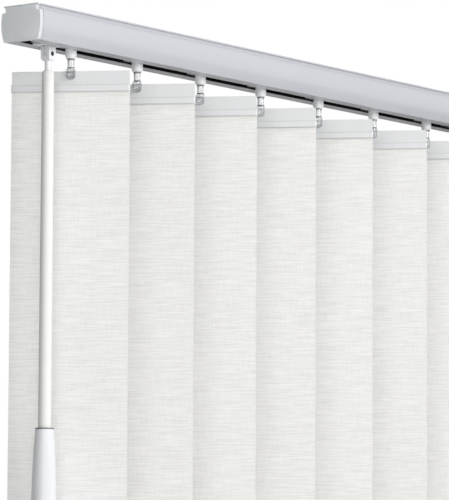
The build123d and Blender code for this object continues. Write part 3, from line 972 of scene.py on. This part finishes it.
def thread_tree() -> Tree:
    """The tree that winds a worm's thread along X about the origin."""
    tree = Tree("worm_thread", {"Radius": float, "Height": float, "Turns": float, "Rib": float,
                                "Material": bpy.types.Material})
    spiral = tree.node(
        "GeometryNodeCurveSpiral",
        {
            "Resolution": 28,
            "Rotations": tree.input("Turns"),
            "Start Radius": tree.input("Radius"),
            "End Radius": tree.input("Radius"),
            "Height": tree.input("Height"),
        },
    ).outputs[0]
    rib = tree.node(
        "GeometryNodeCurvePrimitiveCircle", {"Resolution": 6, "Radius": tree.input("Rib")}
    ).outputs[0]
    wound = tree.node(
        "GeometryNodeCurveToMesh", {"Curve": spiral, "Profile Curve": rib, "Fill Caps": True}
    ).outputs[0]
    centred = tree.node(
        "ShaderNodeCombineXYZ", {2: tree.maths("MULTIPLY", tree.input("Height"), -0.5)}
    ).outputs[0]
    moved = tree.node(
        "GeometryNodeTransform", {"Geometry": wound, "Translation": centred}
    ).outputs[0]
    laid = tree.node(
        "GeometryNodeTransform", {"Geometry": moved, "Rotation": (0.0, QUARTER, 0.0)}
    ).outputs[0]
    tree.close(laid)
    return tree


@dataclass
class Assembly:
    """A sub-assembly: the CAD nodes that it dresses and the materials that it wears."""

    nodes: dict[str, bpy.types.Object]
    palette: Palette

    def dress(self, node: str, name: str, slot: Slot, body: str, edge: float) -> None:
        """Show a node's shape with smooth rounds and softly rounded edges.

        Args:
            node: The node, which the piece replaces.
            name: The piece's name.
            slot: The record's slot that it takes its finish from.
            body: The body that carries it.
            edge: How wide the rounding of a sharp edge is.
        """
        piece = rounded_piece(clean_copy(self.nodes[node]), name, self.palette[slot], edge)
        settle(piece, body, [node])


@dataclass
class HeadRail(Assembly):
    """The extruded rail with its end caps, clips and tilt rod."""

    wall: float = 1.3 * MM
    flange_half: float = 16.4 * MM
    flange_thickness: float = 1.2 * MM
    groove_half: float = 14.9 * MM
    shoulder_half: float = 18.0 * MM
    shoulder_level: float = 22.0 * MM
    bulge_half: float = 18.9 * MM
    bulge_level: float = 14.0 * MM
    bottom_half: float = 16.2 * MM
    corner_radius: float = 1.2 * MM
    corner_steps: int = 6
    shoulder_radius: float = 0.75 * MM
    edge_radius: float = 0.25 * MM
    lip_thickness: float = 1.5 * MM
    lip_edge_radius: float = 0.45 * MM
    lip_steps: int = 3
    lip_groove: Point = (10.1 * MM, 11.9 * MM)
    lip_groove_depth: float = 0.35 * MM
    slot_half: float = 5.5 * MM
    mouth_half: float = 7.0 * MM
    runway: Point = (8.7 * MM, 10.3 * MM)
    runway_height: float = 0.3 * MM
    cap_edge: float = 0.5 * MM
    clip_edge: float = 0.18 * MM
    rod_edge: float = 0.05 * MM
    seam: float = 0.16 * MM
    side_steps: int = 28
    cavity_floor_share: float = 0.95
    cavity_roof_share: float = 0.9

    def __post_init__(self) -> None:
        """Read the rail's levels from the frame."""
        low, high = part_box("rail")
        self.underside = low[2]
        self.height = high[2] - low[2]
        self.ends = (low[0], high[0])

    def side(self, inset: float, z_low: float, z_high: float) -> list[Point]:
        """The bellied side between two levels, from the bottom up.

        Args:
            inset: How far it lies inside the outer face.
            z_low: The level where it starts.
            z_high: The level where it ends.

        Returns:
            The side's points.
        """
        start = (self.bottom_half - inset, z_low)
        middle = (self.bulge_half - inset, self.bulge_level)
        end = (self.shoulder_half - inset, z_high)
        return arc_through(start, middle, end, self.side_steps)

    def outer_half(self) -> list[Point]:
        """The outer line from the underside's corner up to the flange's top edge.

        Returns:
            The line's points, on the side of positive Y.
        """
        side = self.side(0, 0, self.shoulder_level)
        above = side[2]
        corner = rounded(
            [(self.slot_half, 0, 0), (*side[0], self.corner_radius), (*above, 0)],
            self.corner_steps,
        )
        flange_low = self.height - self.flange_thickness
        edge = self.edge_radius
        top = rounded(
            [
                (*side[-2], 0),
                (*side[-1], self.shoulder_radius),
                (self.groove_half, self.shoulder_level, edge),
                (self.groove_half, flange_low, edge),
                (self.flange_half, flange_low, edge),
                (self.flange_half, self.height, edge),
                (self.mouth_half, self.height, 0),
            ]
        )
        return corner[1:-1] + side[2:-2] + top[:-1]

    def section(self) -> list[Point]:
        """The rail's whole section as one closed line.

        Returns:
            The section's points, in (Y, Z) above the underside.
        """
        flange_low = self.height - self.flange_thickness
        channel_half = self.groove_half - self.wall
        web_low = self.shoulder_level - self.wall
        edge = self.edge_radius
        lip = self.lip_edge_radius
        underside = rounded(
            [
                (self.slot_half, self.lip_thickness, 0),
                (self.slot_half, 0, lip),
                (self.lip_groove[0], 0, edge / 2),
                (self.lip_groove[0], self.lip_groove_depth, 0),
                (self.lip_groove[1], self.lip_groove_depth, 0),
                (self.lip_groove[1], 0, edge / 2),
                (self.bottom_half - 2 * self.corner_radius, 0, 0),
            ],
            self.lip_steps,
        )
        channel = rounded(
            [
                (self.mouth_half, self.height, 0),
                (self.mouth_half, flange_low, 0),
                (channel_half, flange_low, 0),
                (channel_half, self.shoulder_level, edge),
                (0, self.shoulder_level, 0),
            ]
        )
        cavity = [
            (self.runway[0], self.lip_thickness),
            (self.runway[0], self.lip_thickness + self.runway_height),
            (self.runway[1], self.lip_thickness + self.runway_height),
            (self.runway[1], self.lip_thickness),
            *self.side(self.wall, self.lip_thickness, web_low),
        ]
        right = underside + self.outer_half() + channel[:-1]
        down = cavity[::-1]
        return right + mirrored(right) + mirrored(down) + down

    def placed(self, loop: Sequence[Point]) -> list[Point]:
        """A line lifted from the rail's underside to its level."""
        return [(y, z + self.underside) for y, z in loop]

    def build_rail(self) -> None:
        """Make the extrusion, with painted shade inside its slot and cavity."""
        bm = run_along_x(self.placed(self.section()), *self.ends)
        # The slot's edges and the cavity's inside take the second material, a near-black painted
        # shade.
        for face in bm.faces:
            face.material_index = int(self.is_in_cavity_shade(face))
        rail = shown(bm, "rail_extrusion", self.palette[Slot.RAIL])
        rail.data.materials.append(self.palette.cavity)
        settle(rail, "head_rail", ["rail"])

    def is_in_cavity_shade(self, face: bmesh.types.BMFace) -> bool:
        """Whether a face of the extrusion takes the near-black painted shade of the dark cavity.

        Args:
            face: The face.

        Returns:
            True for the slot's edges and for the cavity's walls, roof and floor.
        """
        middle = face.calc_center_median()
        level = middle.z - self.underside
        in_slot = abs(middle.y) < self.slot_half + self.lip_edge_radius / 4
        low = 0.0 if in_slot else self.cavity_floor_share * self.lip_thickness
        inside = low < level < self.shoulder_level - self.cavity_roof_share * self.wall
        axis = Vector((middle.x, 0, self.underside + self.bulge_level / 2))
        return inside and abs(face.normal.x) < SIDEWAYS and face.normal.dot(axis - middle) > 0

    def cap_plate(self, outer: float, inner: float) -> bmesh.types.BMesh:
        """A cap's plate, rounded round its face and eased where it meets the rail.

        Args:
            outer: The place of its face, along X.
            inner: The place of its back, along X.

        Returns:
            The plate, whose rim takes the second material: a darker grey that paints shade on the
            rim.
        """
        half = self.outer_half()
        bm = run_along_x(self.placed(half + mirrored(half)), outer, inner)
        for place, width, segments in ((outer, self.cap_edge, 3), (inner, self.seam, 2)):
            rim = [
                edge for edge in bm.edges
                if all(abs(vert.co.x - place) < TOUCH for vert in edge.verts)
            ]
            bmesh.ops.bevel(
                bm, geom=rim, offset=width, segments=segments, profile=0.5, affect="EDGES"
            )
        # Faces that don't face along X take the rim's painted shade.
        for face in bm.faces:
            face.material_index = int(abs(face.normal.x) < SIDEWAYS)
        return bm

    def cap_spigot(self, name: str, inner: float, side: int) -> bmesh.types.BMesh:
        """A cap's own spigot, cut off its plate and closed.

        Args:
            name: The cap's node.
            inner: The place of the cut, along X.
            side: -1 for the wand end and 1 for the far end.

        Returns:
            The spigot.
        """
        bm = clean_copy(self.nodes[name])
        geometry = bm.verts[:] + bm.edges[:] + bm.faces[:]
        cut = bmesh.ops.bisect_plane(
            bm, geom=geometry, plane_co=(inner, 0, 0), plane_no=(side, 0, 0), clear_outer=True
        )
        edges = [item for item in cut["geom_cut"] if isinstance(item, bmesh.types.BMEdge)]
        bmesh.ops.holes_fill(bm, edges=edges)
        return bm

    def build_cap(self, name: str, side: int) -> None:
        """Make an end cap: a plate with softened edges, and the node's own spigot.

        Args:
            name: The node's name.
            side: -1 for the wand end and 1 for the far end.
        """
        low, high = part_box(name)
        outer, inner = (low[0], self.ends[0]) if side < 0 else (high[0], self.ends[1])
        plate = self.cap_plate(outer, inner + side * self.seam)
        bm = joined((plate, self.cap_spigot(name, inner, side)))
        cap = shown(bm, f"{name}_moulding", self.palette[Slot.CAP])
        # The second material paints shade on the cap's rim.
        cap.data.materials.append(self.palette.cap_rim_shade)
        settle(cap, "head_rail", [name])

    def build(self) -> None:
        """Make the rail's pieces and dress its hidden ones."""
        self.build_rail()
        self.build_cap("end_cap_left", -1)
        self.build_cap("end_cap_right", 1)
        self.dress("mounting_clips", "spring_clips", Slot.STEEL, "head_rail", self.clip_edge)
        self.dress("tilt_rod", "lobed_rod", Slot.ROD, "rod", self.rod_edge)


def body_of_truck(number: int) -> str:
    """The body that carries a vane's truck."""
    if number == 1:
        return "lead_carriage"
    return "head_rail" if number == VANE_COUNT else f"carriage_{number}"


@dataclass
class Carriages(Assembly):
    """The trucks, the wand carrier, and the rollers and worms inside them."""

    moulded_edge: float = 0.22 * MM
    sleeve_edge: float = 0.08 * MM
    tread_edge: float = 0.25 * MM
    thread_radius: float = 3.1 * MM
    thread_rib: float = 0.42 * MM
    thread_pitch: float = math.pi / 2 * MM
    thread_margin: float = 3.4 * MM

    def build_worm(self, tree: Tree, node: str, body: str) -> None:
        """Make a worm: its sleeve, and the thread wound between its collars.

        Args:
            tree: The tree that winds the thread.
            node: The sleeve's node.
            body: The body that carries it.
        """
        low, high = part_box(node)
        self.dress(node, f"{node}_sleeve", Slot.GEAR, body, self.sleeve_edge)
        span = high[0] - low[0] - 2 * self.thread_margin
        material = self.palette[Slot.GEAR]
        mesh = tree.run(
            bpy.data.meshes.new(f"{node}_empty"),
            f"{node}_thread",
            {
                "Radius": self.thread_radius - self.thread_rib / 2,
                "Height": span,
                "Turns": span / self.thread_pitch,
                "Rib": self.thread_rib,
                "Material": material,
            },
        )
        centre = (Vector(low) + Vector(high)) / 2
        mesh.transform(Matrix.Translation(centre))
        mesh.shade_smooth()
        settle(piece_from(mesh, material), body)

    def build_moulding(self, node: str, body: str) -> None:
        """Make the moulded body of a truck or of the wand carrier."""
        self.dress(node, f"{node}_moulding", Slot.TRUCK, body, self.moulded_edge)

    def build_rollers(self, node: str, body: str) -> None:
        """Make a pair of rollers with softened treads."""
        self.dress(node, f"{node}_pair", Slot.ROLLER, body, self.tread_edge)

    def build(self) -> None:
        """Make the carriages' pieces."""
        tree = thread_tree()
        for number in range(1, VANE_COUNT + 1):
            self.build_moulding(f"truck_{number}", body_of_truck(number))
            self.build_worm(tree, f"worm_{number}", f"worm_sleeve_{number}")
            body = f"roller_pair_{number}" if number < VANE_COUNT else "head_rail"
            self.build_rollers(f"rollers_{number}", body)
        self.build_moulding("wand_carrier", "lead_carriage")
        self.build_worm(tree, "drive_gear", "drive_sleeve")
        self.build_rollers("carrier_rollers", "carrier_roller_pair")


@dataclass
class Vanes(Assembly):
    """The vanes: clear stem, moulded hanger, fabric and the hem's stitches."""

    width: float = 89.0 * MM
    thickness: float = 0.5 * MM
    hem_height: float = 34.0 * MM
    hem_half: float = 0.85 * MM
    hem_lead: float = 4.0 * MM
    hem_ease: int = 5
    ease_step: float = 1.2 * MM
    fold_steps: int = 8
    flap_shares: Point = (1.15, 1.05)
    bow: float = 0.9 * MM
    ripple: float = 1.0 * MM
    fade: float = 60.0 * MM
    columns: int = 20
    rows: int = 110
    stitch_count: int = 32
    stitch_length: float = 1.9 * MM
    stitch_radius: float = 0.2 * MM
    stitch_drop: float = 2.0 * MM
    stitch_stands: Point = (-0.5, 1.55)
    uv_shift: float = 0.37
    ridge_half: float = 1.5 * MM
    ridge_overhang: float = 0.3 * MM
    # Strips of painted shade along the hanger's ridge: how proud they stand, and their drop and
    # height.
    shade_line_proud: float = 0.12 * MM
    shade_line_levels: tuple[Point, ...] = ((25.4 * MM, 0.5 * MM), (30.0 * MM, 0.6 * MM))
    # The rings of painted shade on the stem: their drop below the rail and their reach, then their
    # section.
    shade_ring_places: tuple[Point, ...] = ((6.2 * MM, 2.35 * MM), (12.7 * MM, 2.45 * MM))
    shade_ring_section: float = 0.35 * MM
    shade_ring_sides: int = 10
    shade_ring_segments: int = 32
    stem_edge: float = 0.12 * MM
    hanger_edge: float = 0.25 * MM

    def __post_init__(self) -> None:
        """Read the rail's underside from the frame."""
        self.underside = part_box("rail")[0][2]

    def path(self, top: float, bottom: float) -> list[Point]:
        """The cloth's line from the hanger down, round the hem's weight and up its back.

        Args:
            top: The level where the cloth leaves its seat in the hanger.
            bottom: The level of the vane's foot.

        Returns:
            The line's points, in (Y, Z).
        """
        hem_top = bottom + self.hem_height
        fold = self.hem_half
        drop = hem_top + self.hem_lead - top
        straight = [(0.0, top + drop * row / self.rows) for row in range(self.rows + 1)]
        front = [
            (
                -fold * math.sin(math.pi / 2 * step / self.hem_ease),
                hem_top - (step - 1) * self.ease_step,
            )
            for step in range(1, self.hem_ease + 1)
        ]
        centre = bottom + fold + self.thickness / 2
        last, steps = front[-1][1], self.fold_steps
        middle = [(-fold, last + (centre - last) * step / steps) for step in range(1, steps)]
        turns = [math.pi * step / steps for step in range(steps + 1)]
        curl = [(-fold * math.cos(turn), centre - fold * math.sin(turn)) for turn in turns]
        lower, upper = self.flap_shares
        back = [
            (fold, hem_top - (self.hem_ease - 1) * self.ease_step),
            (self.thickness * lower, hem_top - self.ease_step),
            (self.thickness * upper, hem_top),
        ]
        return straight + front + middle + curl + back

    def flat_cloth(self, name: str, path: Sequence[Point], shift: float) -> bpy.types.Mesh:
        """The cloth before it hangs: its line run across the vane, mapped in metres.

        Args:
            name: The mesh's name.
            path: The cloth's line.
            shift: How far this vane's pattern is moved across.

        Returns:
            The mesh.
        """
        bm = bmesh.new()
        maps = bm.loops.layers.uv.new("UVMap")
        lengths = [0.0]
        for before, after in zip(path, path[1:]):
            lengths.append(lengths[-1] + math.dist(before, after))
        places = [self.width * (column / self.columns - 0.5) for column in range(self.columns + 1)]
        grid = [[bm.verts.new((x, y, z)) for x in places] for y, z in path]
        for row in range(len(path) - 1):
            for column in range(self.columns):
                corners = ((row, column), (row, column + 1), (row + 1, column + 1), (row + 1, column))
                face = bm.faces.new([grid[r][c] for r, c in corners])
                for loop, (r, c) in zip(face.loops, corners):
                    loop[maps].uv = (places[c] + shift, -lengths[r] + shift)
        bmesh.ops.recalc_face_normals(bm, faces=bm.faces)
        return finish_mesh(bm, name)

    def turn_to_rest(self, number: int) -> Matrix:
        """The move from the vane's own frame to its place under the rail."""
        low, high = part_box(f"stem_{number}")
        centre = (Vector(low) + Vector(high)) / 2
        return Matrix.Translation((centre.x, 0, 0)) @ Matrix.Rotation(-REST_ANGLE, 4, "Z")

    def build_cloth(self, number: int, cloth: Tree, stitches: Tree) -> None:
        """Make one vane's fabric and its stitches.

        Args:
            number: The vane's number.
            cloth: The tree that sways the cloth.
            stitches: The tree that sews the hem.
        """
        low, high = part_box(f"slat_{number}")
        top, bottom = high[2], low[2]
        side = 1 if number % 2 else -1
        sway = {
            "Width": self.width,
            "Bow": side * self.bow,
            "Ripple": self.ripple,
            "Seed": float(number),
        }
        path = self.path(top, bottom)
        flat = self.flat_cloth(f"cloth_{number}", path, self.uv_shift * number)
        material = self.palette[Slot.FABRIC]
        mesh = cloth.run(
            flat, f"cloth_{number}", {**sway, "Top": top, "Fade": self.fade, "Material": material}
        )
        piece = piece_from(mesh, material)
        skin = piece.modifiers.new("cloth", "SOLIDIFY")
        skin.thickness = self.thickness
        skin.offset = 0
        mesh = baked(piece, f"fabric_vane_{number}")
        mesh.transform(self.turn_to_rest(number))
        mesh.shade_smooth()
        mesh.set_sharp_from_angle(angle=SHARP_ANGLE)
        vane = settle(
            piece_from(mesh, material), f"vane_{number}", [f"slat_{number}"]
        )
        sewn = self.build_stitches(number, stitches, sway, bottom)

    def build_stitches(
        self, number: int, tree: Tree, sway: dict[str, float], bottom: float
    ) -> list[bpy.types.Object]:
        """Make the stitches that close the hem, on both faces of one vane.

        Args:
            number: The vane's number.
            tree: The tree that sews a row.
            sway: How the vane's cloth leaves its plane.
            bottom: The level of the vane's foot.

        Returns:
            The two rows of stitches.
        """
        rows = []
        for face, stand in zip(("front", "back"), self.stitch_stands):
            row = tree.run(
                bpy.data.meshes.new(f"stitch_{number}_{face}_empty"),
                f"stitches_{number}_{face}",
                {
                    **sway,
                    "Level": bottom + self.hem_height - self.stitch_drop,
                    "Stand": self.thickness * stand,
                    "Count": self.stitch_count,
                    "Length": self.stitch_length,
                    "Radius": self.stitch_radius,
                    "Material": self.palette.thread,
                },
            )
            row.transform(self.turn_to_rest(number))
            row.shade_smooth()
            rows.append(settle(piece_from(row, self.palette.thread), f"vane_{number}"))
        return rows

    def build_shade_lines(self, number: int) -> None:
        """Make the fine dark lines of painted shade along the top and foot of the hanger's ridge.

        Args:
            number: The vane's number.
        """
        half = self.width / 2 + self.ridge_overhang
        strips = []
        for drop, height in self.shade_line_levels:
            top = self.underside - drop
            for side in (-1, 1):
                buried = side * (self.ridge_half - self.shade_line_proud)
                proud = side * (self.ridge_half + self.shade_line_proud)
                loop = [(buried, top), (proud, top), (proud, top - height), (buried, top - height)]
                strips.append(run_along_x(loop, -half, half))
        # The strips paint the shade of the lines at the ridge's top and foot.
        shade_lines = joined(strips)
        bmesh.ops.transform(shade_lines, matrix=self.turn_to_rest(number), verts=shade_lines.verts)
        piece = shown(shade_lines, f"hanger_{number}_seams", self.palette.seam)
        settle(piece, f"vane_{number}")

    def build_shade_rings(self, number: int) -> None:
        """Make the two dark rings of painted shade that close the stem's waist.

        Args:
            number: The vane's number.
        """
        low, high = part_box(f"stem_{number}")
        centre = ((low[0] + high[0]) / 2, (low[1] + high[1]) / 2)
        # Two thin dark rings paint the shade at the edges of the stem's waist.
        shade_rings = joined(
            ring(centre, reach, self.underside - drop, self.shade_ring_section,
                 self.shade_ring_sides, self.shade_ring_segments)
            for drop, reach in self.shade_ring_places
        )
        piece = shown(shade_rings, f"stem_{number}_beads", self.palette.ring_shade)
        settle(piece, f"vane_{number}")

    def build(self) -> None:
        """Make every vane."""
        cloth, stitches = cloth_tree(), stitch_tree()
        for number in range(1, VANE_COUNT + 1):
            body = f"vane_{number}"
            stem, hanger = f"stem_{number}", f"hanger_{number}"
            self.dress(stem, f"{stem}_moulding", Slot.CLEAR, body, self.stem_edge)
            self.dress(hanger, f"{hanger}_moulding", Slot.HANGER, body, self.hanger_edge)
            self.build_shade_lines(number)
            self.build_shade_rings(number)
            self.build_cloth(number, cloth, stitches)


@dataclass
class Wand(Assembly):
    """The wand: shaft, fork, pin, tube and grip."""

    shaft_edge: float = 0.12 * MM
    fork_edge: float = 0.4 * MM
    fork_half: float = 3.95 * MM
    fork_height: float = 10.6 * MM
    node_gap_floor: float = 8.15 * MM
    gap_floor: float = 8.75 * MM
    seat_half: float = 1.3 * MM
    seat_line: tuple[Point, ...] = (
        (0.0, 8.9 * MM), (1.2 * MM, 8.7 * MM), (2.3 * MM, 8.0 * MM), (3.9 * MM, 6.95 * MM),
        (3.9 * MM, 8.7 * MM), (3.6 * MM, 8.95 * MM), (0.0, 9.0 * MM),
    )
    pin_drop: float = 5.6 * MM
    pin_radius: float = 1.95 * MM
    pin_proud: float = 0.1 * MM
    pin_round: float = 0.3 * MM
    pin_segments: int = 32
    tongue_half: float = 3.2 * MM
    tongue_end: float = 3.0 * MM
    tongue_thickness_half: float = 1.12 * MM
    tongue_top: float = -1.3 * MM
    tongue_steps: int = 24
    rim_radius: float = 3.7 * MM
    rim_drop: float = 18.2 * MM
    shoulder_radius: float = 4.5 * MM
    shoulder_drop: float = 19.4 * MM
    tube_radius: float = 4.8 * MM
    grip_top_radius: float = 6.9 * MM
    grip_bulge_radius: float = 9.2 * MM
    grip_bulge_share: float = 0.55
    grip_tip_radius: float = 7.6 * MM
    grip_edge: float = 1.2 * MM
    grip_steps: int = 32
    grip_edge_steps: int = 6
    ring_radius: float = 0.62 * MM
    ring_reach: float = 6.35 * MM
    ring_sides: int = 12
    ring_segments: int = 48

    def __post_init__(self) -> None:
        """Read the wand's axis and the rail's underside from the frame."""
        low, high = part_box("wand_tube")
        self.axis = ((low[0] + high[0]) / 2, (low[1] + high[1]) / 2)
        self.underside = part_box("rail")[0][2]

    def build_shaft(self) -> None:
        """Make the shaft, and the round-ended cheeks that fill the fork's gap about its tongue."""
        self.dress("wand_shaft", "wand_shaft_moulding", Slot.GEAR, "shaft", self.shaft_edge)
        half = self.tongue_half
        turns = [math.pi * step / self.tongue_steps for step in range(self.tongue_steps + 1)]
        round_end = [
            (half * math.cos(turn), self.pin_drop + self.tongue_end * math.sin(turn))
            for turn in turns
        ]
        loop = [(half, self.tongue_top), *round_end, (-half, self.tongue_top)]
        cheeks = self.plate_across(loop, self.tongue_thickness_half)
        piece = shown(cheeks, "wand_tongue_cheeks", self.palette[Slot.FORK])
        settle(piece, "shaft")

    def plate_across(self, loop: Sequence[Point], half: float) -> bmesh.types.BMesh:
        """A plate about the wand's axis, drawn in X and the drop below the rail.

        Args:
            loop: The plate's outline.
            half: Half its thickness, along Y.

        Returns:
            The plate, in its place.
        """
        placed = [(x, self.underside - drop) for x, drop in loop]
        bm = run_along_x(placed, -half, half)
        turn = Matrix.Rotation(QUARTER, 4, "Z")
        place = Matrix.Translation((*self.axis, 0))
        bmesh.ops.transform(bm, matrix=place @ turn, verts=bm.verts)
        return bm

    def build_fork(self) -> None:
        """Make the fork block and neck from the node, with the block's width and gap set anew."""
        low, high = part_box("wand_fork")
        scale = self.fork_half / ((high[0] - low[0]) / 2)
        bm = clean_copy(self.nodes["wand_fork"])
        for vert in bm.verts:
            drop = self.underside - vert.co.z
            if drop < self.fork_height - TOUCH:
                vert.co.x = self.axis[0] + (vert.co.x - self.axis[0]) * scale
                vert.co.y = self.axis[1] + (vert.co.y - self.axis[1]) * scale
            if abs(drop - self.node_gap_floor) < TOUCH:
                vert.co.z = self.underside - self.gap_floor
        fork = rounded_piece(bm, "wand_fork_moulding", self.palette[Slot.FORK], self.fork_edge)
        settle(fork, "wand", ["wand_fork"])

    def build_pin(self) -> None:
        """Make the dark pin across the fork."""
        reach = self.fork_half + self.pin_proud
        inner = self.pin_radius - self.pin_round
        profile = [
            (0.0, -reach), (inner, -reach), (self.pin_radius, -reach + self.pin_round),
            (self.pin_radius, reach - self.pin_round), (inner, reach), (0.0, reach),
        ]
        pin = lathe(profile, (0.0, 0.0), self.pin_segments)
        turn = Matrix.Rotation(QUARTER, 4, "X")
        place = Matrix.Translation((*self.axis, self.underside - self.pin_drop))
        bmesh.ops.transform(pin, matrix=place @ turn, verts=pin.verts)
        piece = shown(pin, "fork_pin_rivet", self.palette.blackened)
        settle(piece, "wand", ["fork_pin"])

    def build_seat(self) -> None:
        """Make the seat under the tongue's round end, which closes the fork's gap below it."""
        right = list(reversed(self.seat_line))
        plate = self.plate_across(mirrored(right) + right[1:-1], self.seat_half)
        settle(shown(plate, "wand_fork_seat", self.palette[Slot.FORK]), "wand")

    def build_tube(self) -> None:
        """Make the tube with its crisp coned shoulder."""
        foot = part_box("wand_tube")[0][2]
        profile = [
            (0.0, foot),
            (self.tube_radius, foot),
            (self.shoulder_radius, self.underside - self.shoulder_drop),
            (self.rim_radius, self.underside - self.rim_drop),
            (0.0, self.underside - self.rim_drop),
        ]
        tube = shown(lathe(profile, self.axis), "wand_tube_moulding", self.palette[Slot.WAND])
        settle(tube, "wand", ["wand_tube"])

    def build_grip(self) -> None:
        """Make the swelling grip and the dark ring of painted shade where the tube enters it."""
        low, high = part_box("wand_grip")
        bottom, top = low[2], high[2]
        edge = self.grip_edge
        bulge = (self.grip_bulge_radius, top - self.grip_bulge_share * (top - bottom))
        side = arc_through(
            (self.grip_tip_radius, bottom + edge), bulge, (self.grip_top_radius, top - edge),
            self.grip_steps,
        )
        near = edge * (1 - math.sqrt(0.5))
        foot, crown = (
            arc_through(
                (radius - edge, level), (radius - near, level + way * near),
                (radius, level + way * edge), self.grip_edge_steps,
            )
            for radius, level, way in (
                (self.grip_tip_radius, bottom, 1), (self.grip_top_radius, top, -1)
            )
        )
        profile = [(0.0, bottom), *foot[:-1], *side, *reversed(crown[:-1]), (0.0, top)]
        grip = shown(lathe(profile, self.axis), "wand_grip_moulding", self.palette[Slot.GRIP])
        settle(grip, "wand", ["wand_grip"])
        # A dark ring paints the shade where the tube enters the grip.
        grip_shade_ring = ring(
            self.axis, self.ring_reach, top, self.ring_radius, self.ring_sides, self.ring_segments
        )
        settle(shown(grip_shade_ring, "grip_top_shade_ring", self.palette.ring_shade), "wand")

    def build(self) -> None:
        """Make the wand's pieces."""
        self.build_shaft()
        self.build_fork()
        self.build_seat()
        self.build_pin()
        self.build_tube()
        self.build_grip()


@dataclass(frozen=True)
class Softbox:
    """A square lamp that faces a point of the blind."""

    name: str
    place: Place
    aim: Place
    size: float
    power: float

    def build(self) -> None:
        """Put the lamp in the scene."""
        lamp = bpy.data.lights.new(self.name, "AREA")
        lamp.size = self.size
        lamp.energy = self.power
        holder = bpy.data.objects.new(self.name, lamp)
        holder.location = self.place
        way = Vector(self.aim) - Vector(self.place)
        holder.rotation_euler = way.to_track_quat("-Z", "Y").to_euler()
        holder.visible_camera = False
        bpy.context.scene.collection.objects.link(holder)


RAIL_END_AIM: Place = (-0.15, 0.0, 0.0)
VANES_AIM: Place = (-0.15, 0.0, -0.25)
LAMPS = (
    Softbox("key", (-0.08, -2.44, 0.64), VANES_AIM, size=1.0, power=37.0),
    Softbox("left_fill", (-2.12, -1.37, 0.12), VANES_AIM, size=1.2, power=13.0),
    Softbox("low_bounce", (-0.7, -1.05, -0.88), RAIL_END_AIM, size=1.2, power=5.5),
    Softbox("overhead", (-0.3, -0.9, 2.0), VANES_AIM, size=1.5, power=15.0),
)


@dataclass
class Studio:
    """The floor, the lamps, the white surroundings and the camera."""

    lamps: tuple[Softbox, ...] = LAMPS
    ambient: float = 0.17
    floor_gap: float = 30.0 * MM
    floor_size: float = 14.0
    floor_colour: Colour = (0.86, 0.86, 0.86)
    camera_place: Place = (-2.2614, -1.6452, -0.4395)
    camera_yaw: float = math.radians(53.385)
    camera_pitch: float = math.radians(5.777)
    camera_roll: float = math.radians(0.292)
    focal_pixels: float = 3538.3
    frame_height_pixels: float = 500.0
    sensor: float = 36.0
    clip_end: float = 50.0

    def build_floor(self, lowest: float) -> None:
        """Lay the floor a little below the vanes.

        Args:
            lowest: The level of the blind's lowest point.
        """
        bm = bmesh.new()
        bmesh.ops.create_grid(bm, x_segments=2, y_segments=2, size=self.floor_size)
        bmesh.ops.translate(bm, verts=bm.verts, vec=(0, 0, lowest - self.floor_gap))
        material = StudioFloor("studio_floor", self.floor_colour).build()
        shown(bm, "studio_floor", material)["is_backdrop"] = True

    def build_world(self) -> None:
        """Surround the blind with even light that the camera and gloss see as white."""
        world = bpy.data.worlds.new("studio")
        bpy.context.scene.world = world
        world.use_nodes = True
        nodes, links = world.node_tree.nodes, world.node_tree.links
        background = next(n for n in nodes if n.type == "BACKGROUND")
        background.inputs["Color"].default_value = (1, 1, 1, 1)
        path = nodes.new("ShaderNodeLightPath")
        total = path.outputs["Is Camera Ray"]
        for title in ("Is Glossy Ray", "Is Transmission Ray"):
            either = nodes.new("ShaderNodeMath")
            either.operation = "MAXIMUM"
            links.new(total, either.inputs[0])
            links.new(path.outputs[title], either.inputs[1])
            total = either.outputs[0]
        level = nodes.new("ShaderNodeMapRange")
        level.inputs["To Min"].default_value = self.ambient
        level.inputs["To Max"].default_value = 1.0
        links.new(total, level.inputs["Value"])
        links.new(level.outputs["Result"], background.inputs["Strength"])

    def build_camera(self) -> None:
        """Set the camera where the photograph was taken from."""
        yaw, pitch, roll = self.camera_yaw, self.camera_pitch, self.camera_roll
        forward = Vector(
            (math.sin(yaw) * math.cos(pitch), math.cos(yaw) * math.cos(pitch), math.sin(pitch))
        )
        level = Vector((math.cos(yaw), -math.sin(yaw), 0))
        upright = level.cross(forward)
        right = level * math.cos(roll) + upright * math.sin(roll)
        up = upright * math.cos(roll) - level * math.sin(roll)
        lens = bpy.data.cameras.new("camera")
        lens.sensor_width = self.sensor
        lens.lens = self.focal_pixels / self.frame_height_pixels * self.sensor
        lens.clip_end = self.clip_end
        camera = bpy.data.objects.new("camera", lens)
        axes = Matrix((right, up, -forward)).transposed().to_4x4()
        camera.matrix_world = Matrix.Translation(self.camera_place) @ axes
        bpy.context.scene.collection.objects.link(camera)
        bpy.context.scene.camera = camera

    def build(self, lowest: float) -> None:
        """Make the whole studio.

        Args:
            lowest: The level of the blind's lowest point.
        """
        self.build_floor(lowest)
        self.build_world()
        for lamp in self.lamps:
            lamp.build()
        self.build_camera()
        bpy.context.scene.view_settings.view_transform = "Standard"


def main() -> None:
    """Load the frame, dress the blind and set up the studio."""
    logging.basicConfig(level=logging.INFO, format="%(name)s: %(message)s")
    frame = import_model()
    cad_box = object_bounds()
    palette = Palette()
    for assembly in (HeadRail, Carriages, Vanes, Wand):
        LOG.info("building %s", assembly.__name__)
        assembly(frame["nodes"], palette).build()
    Studio().build(cad_box[0][2])


if __name__ == "__main__":
    main()
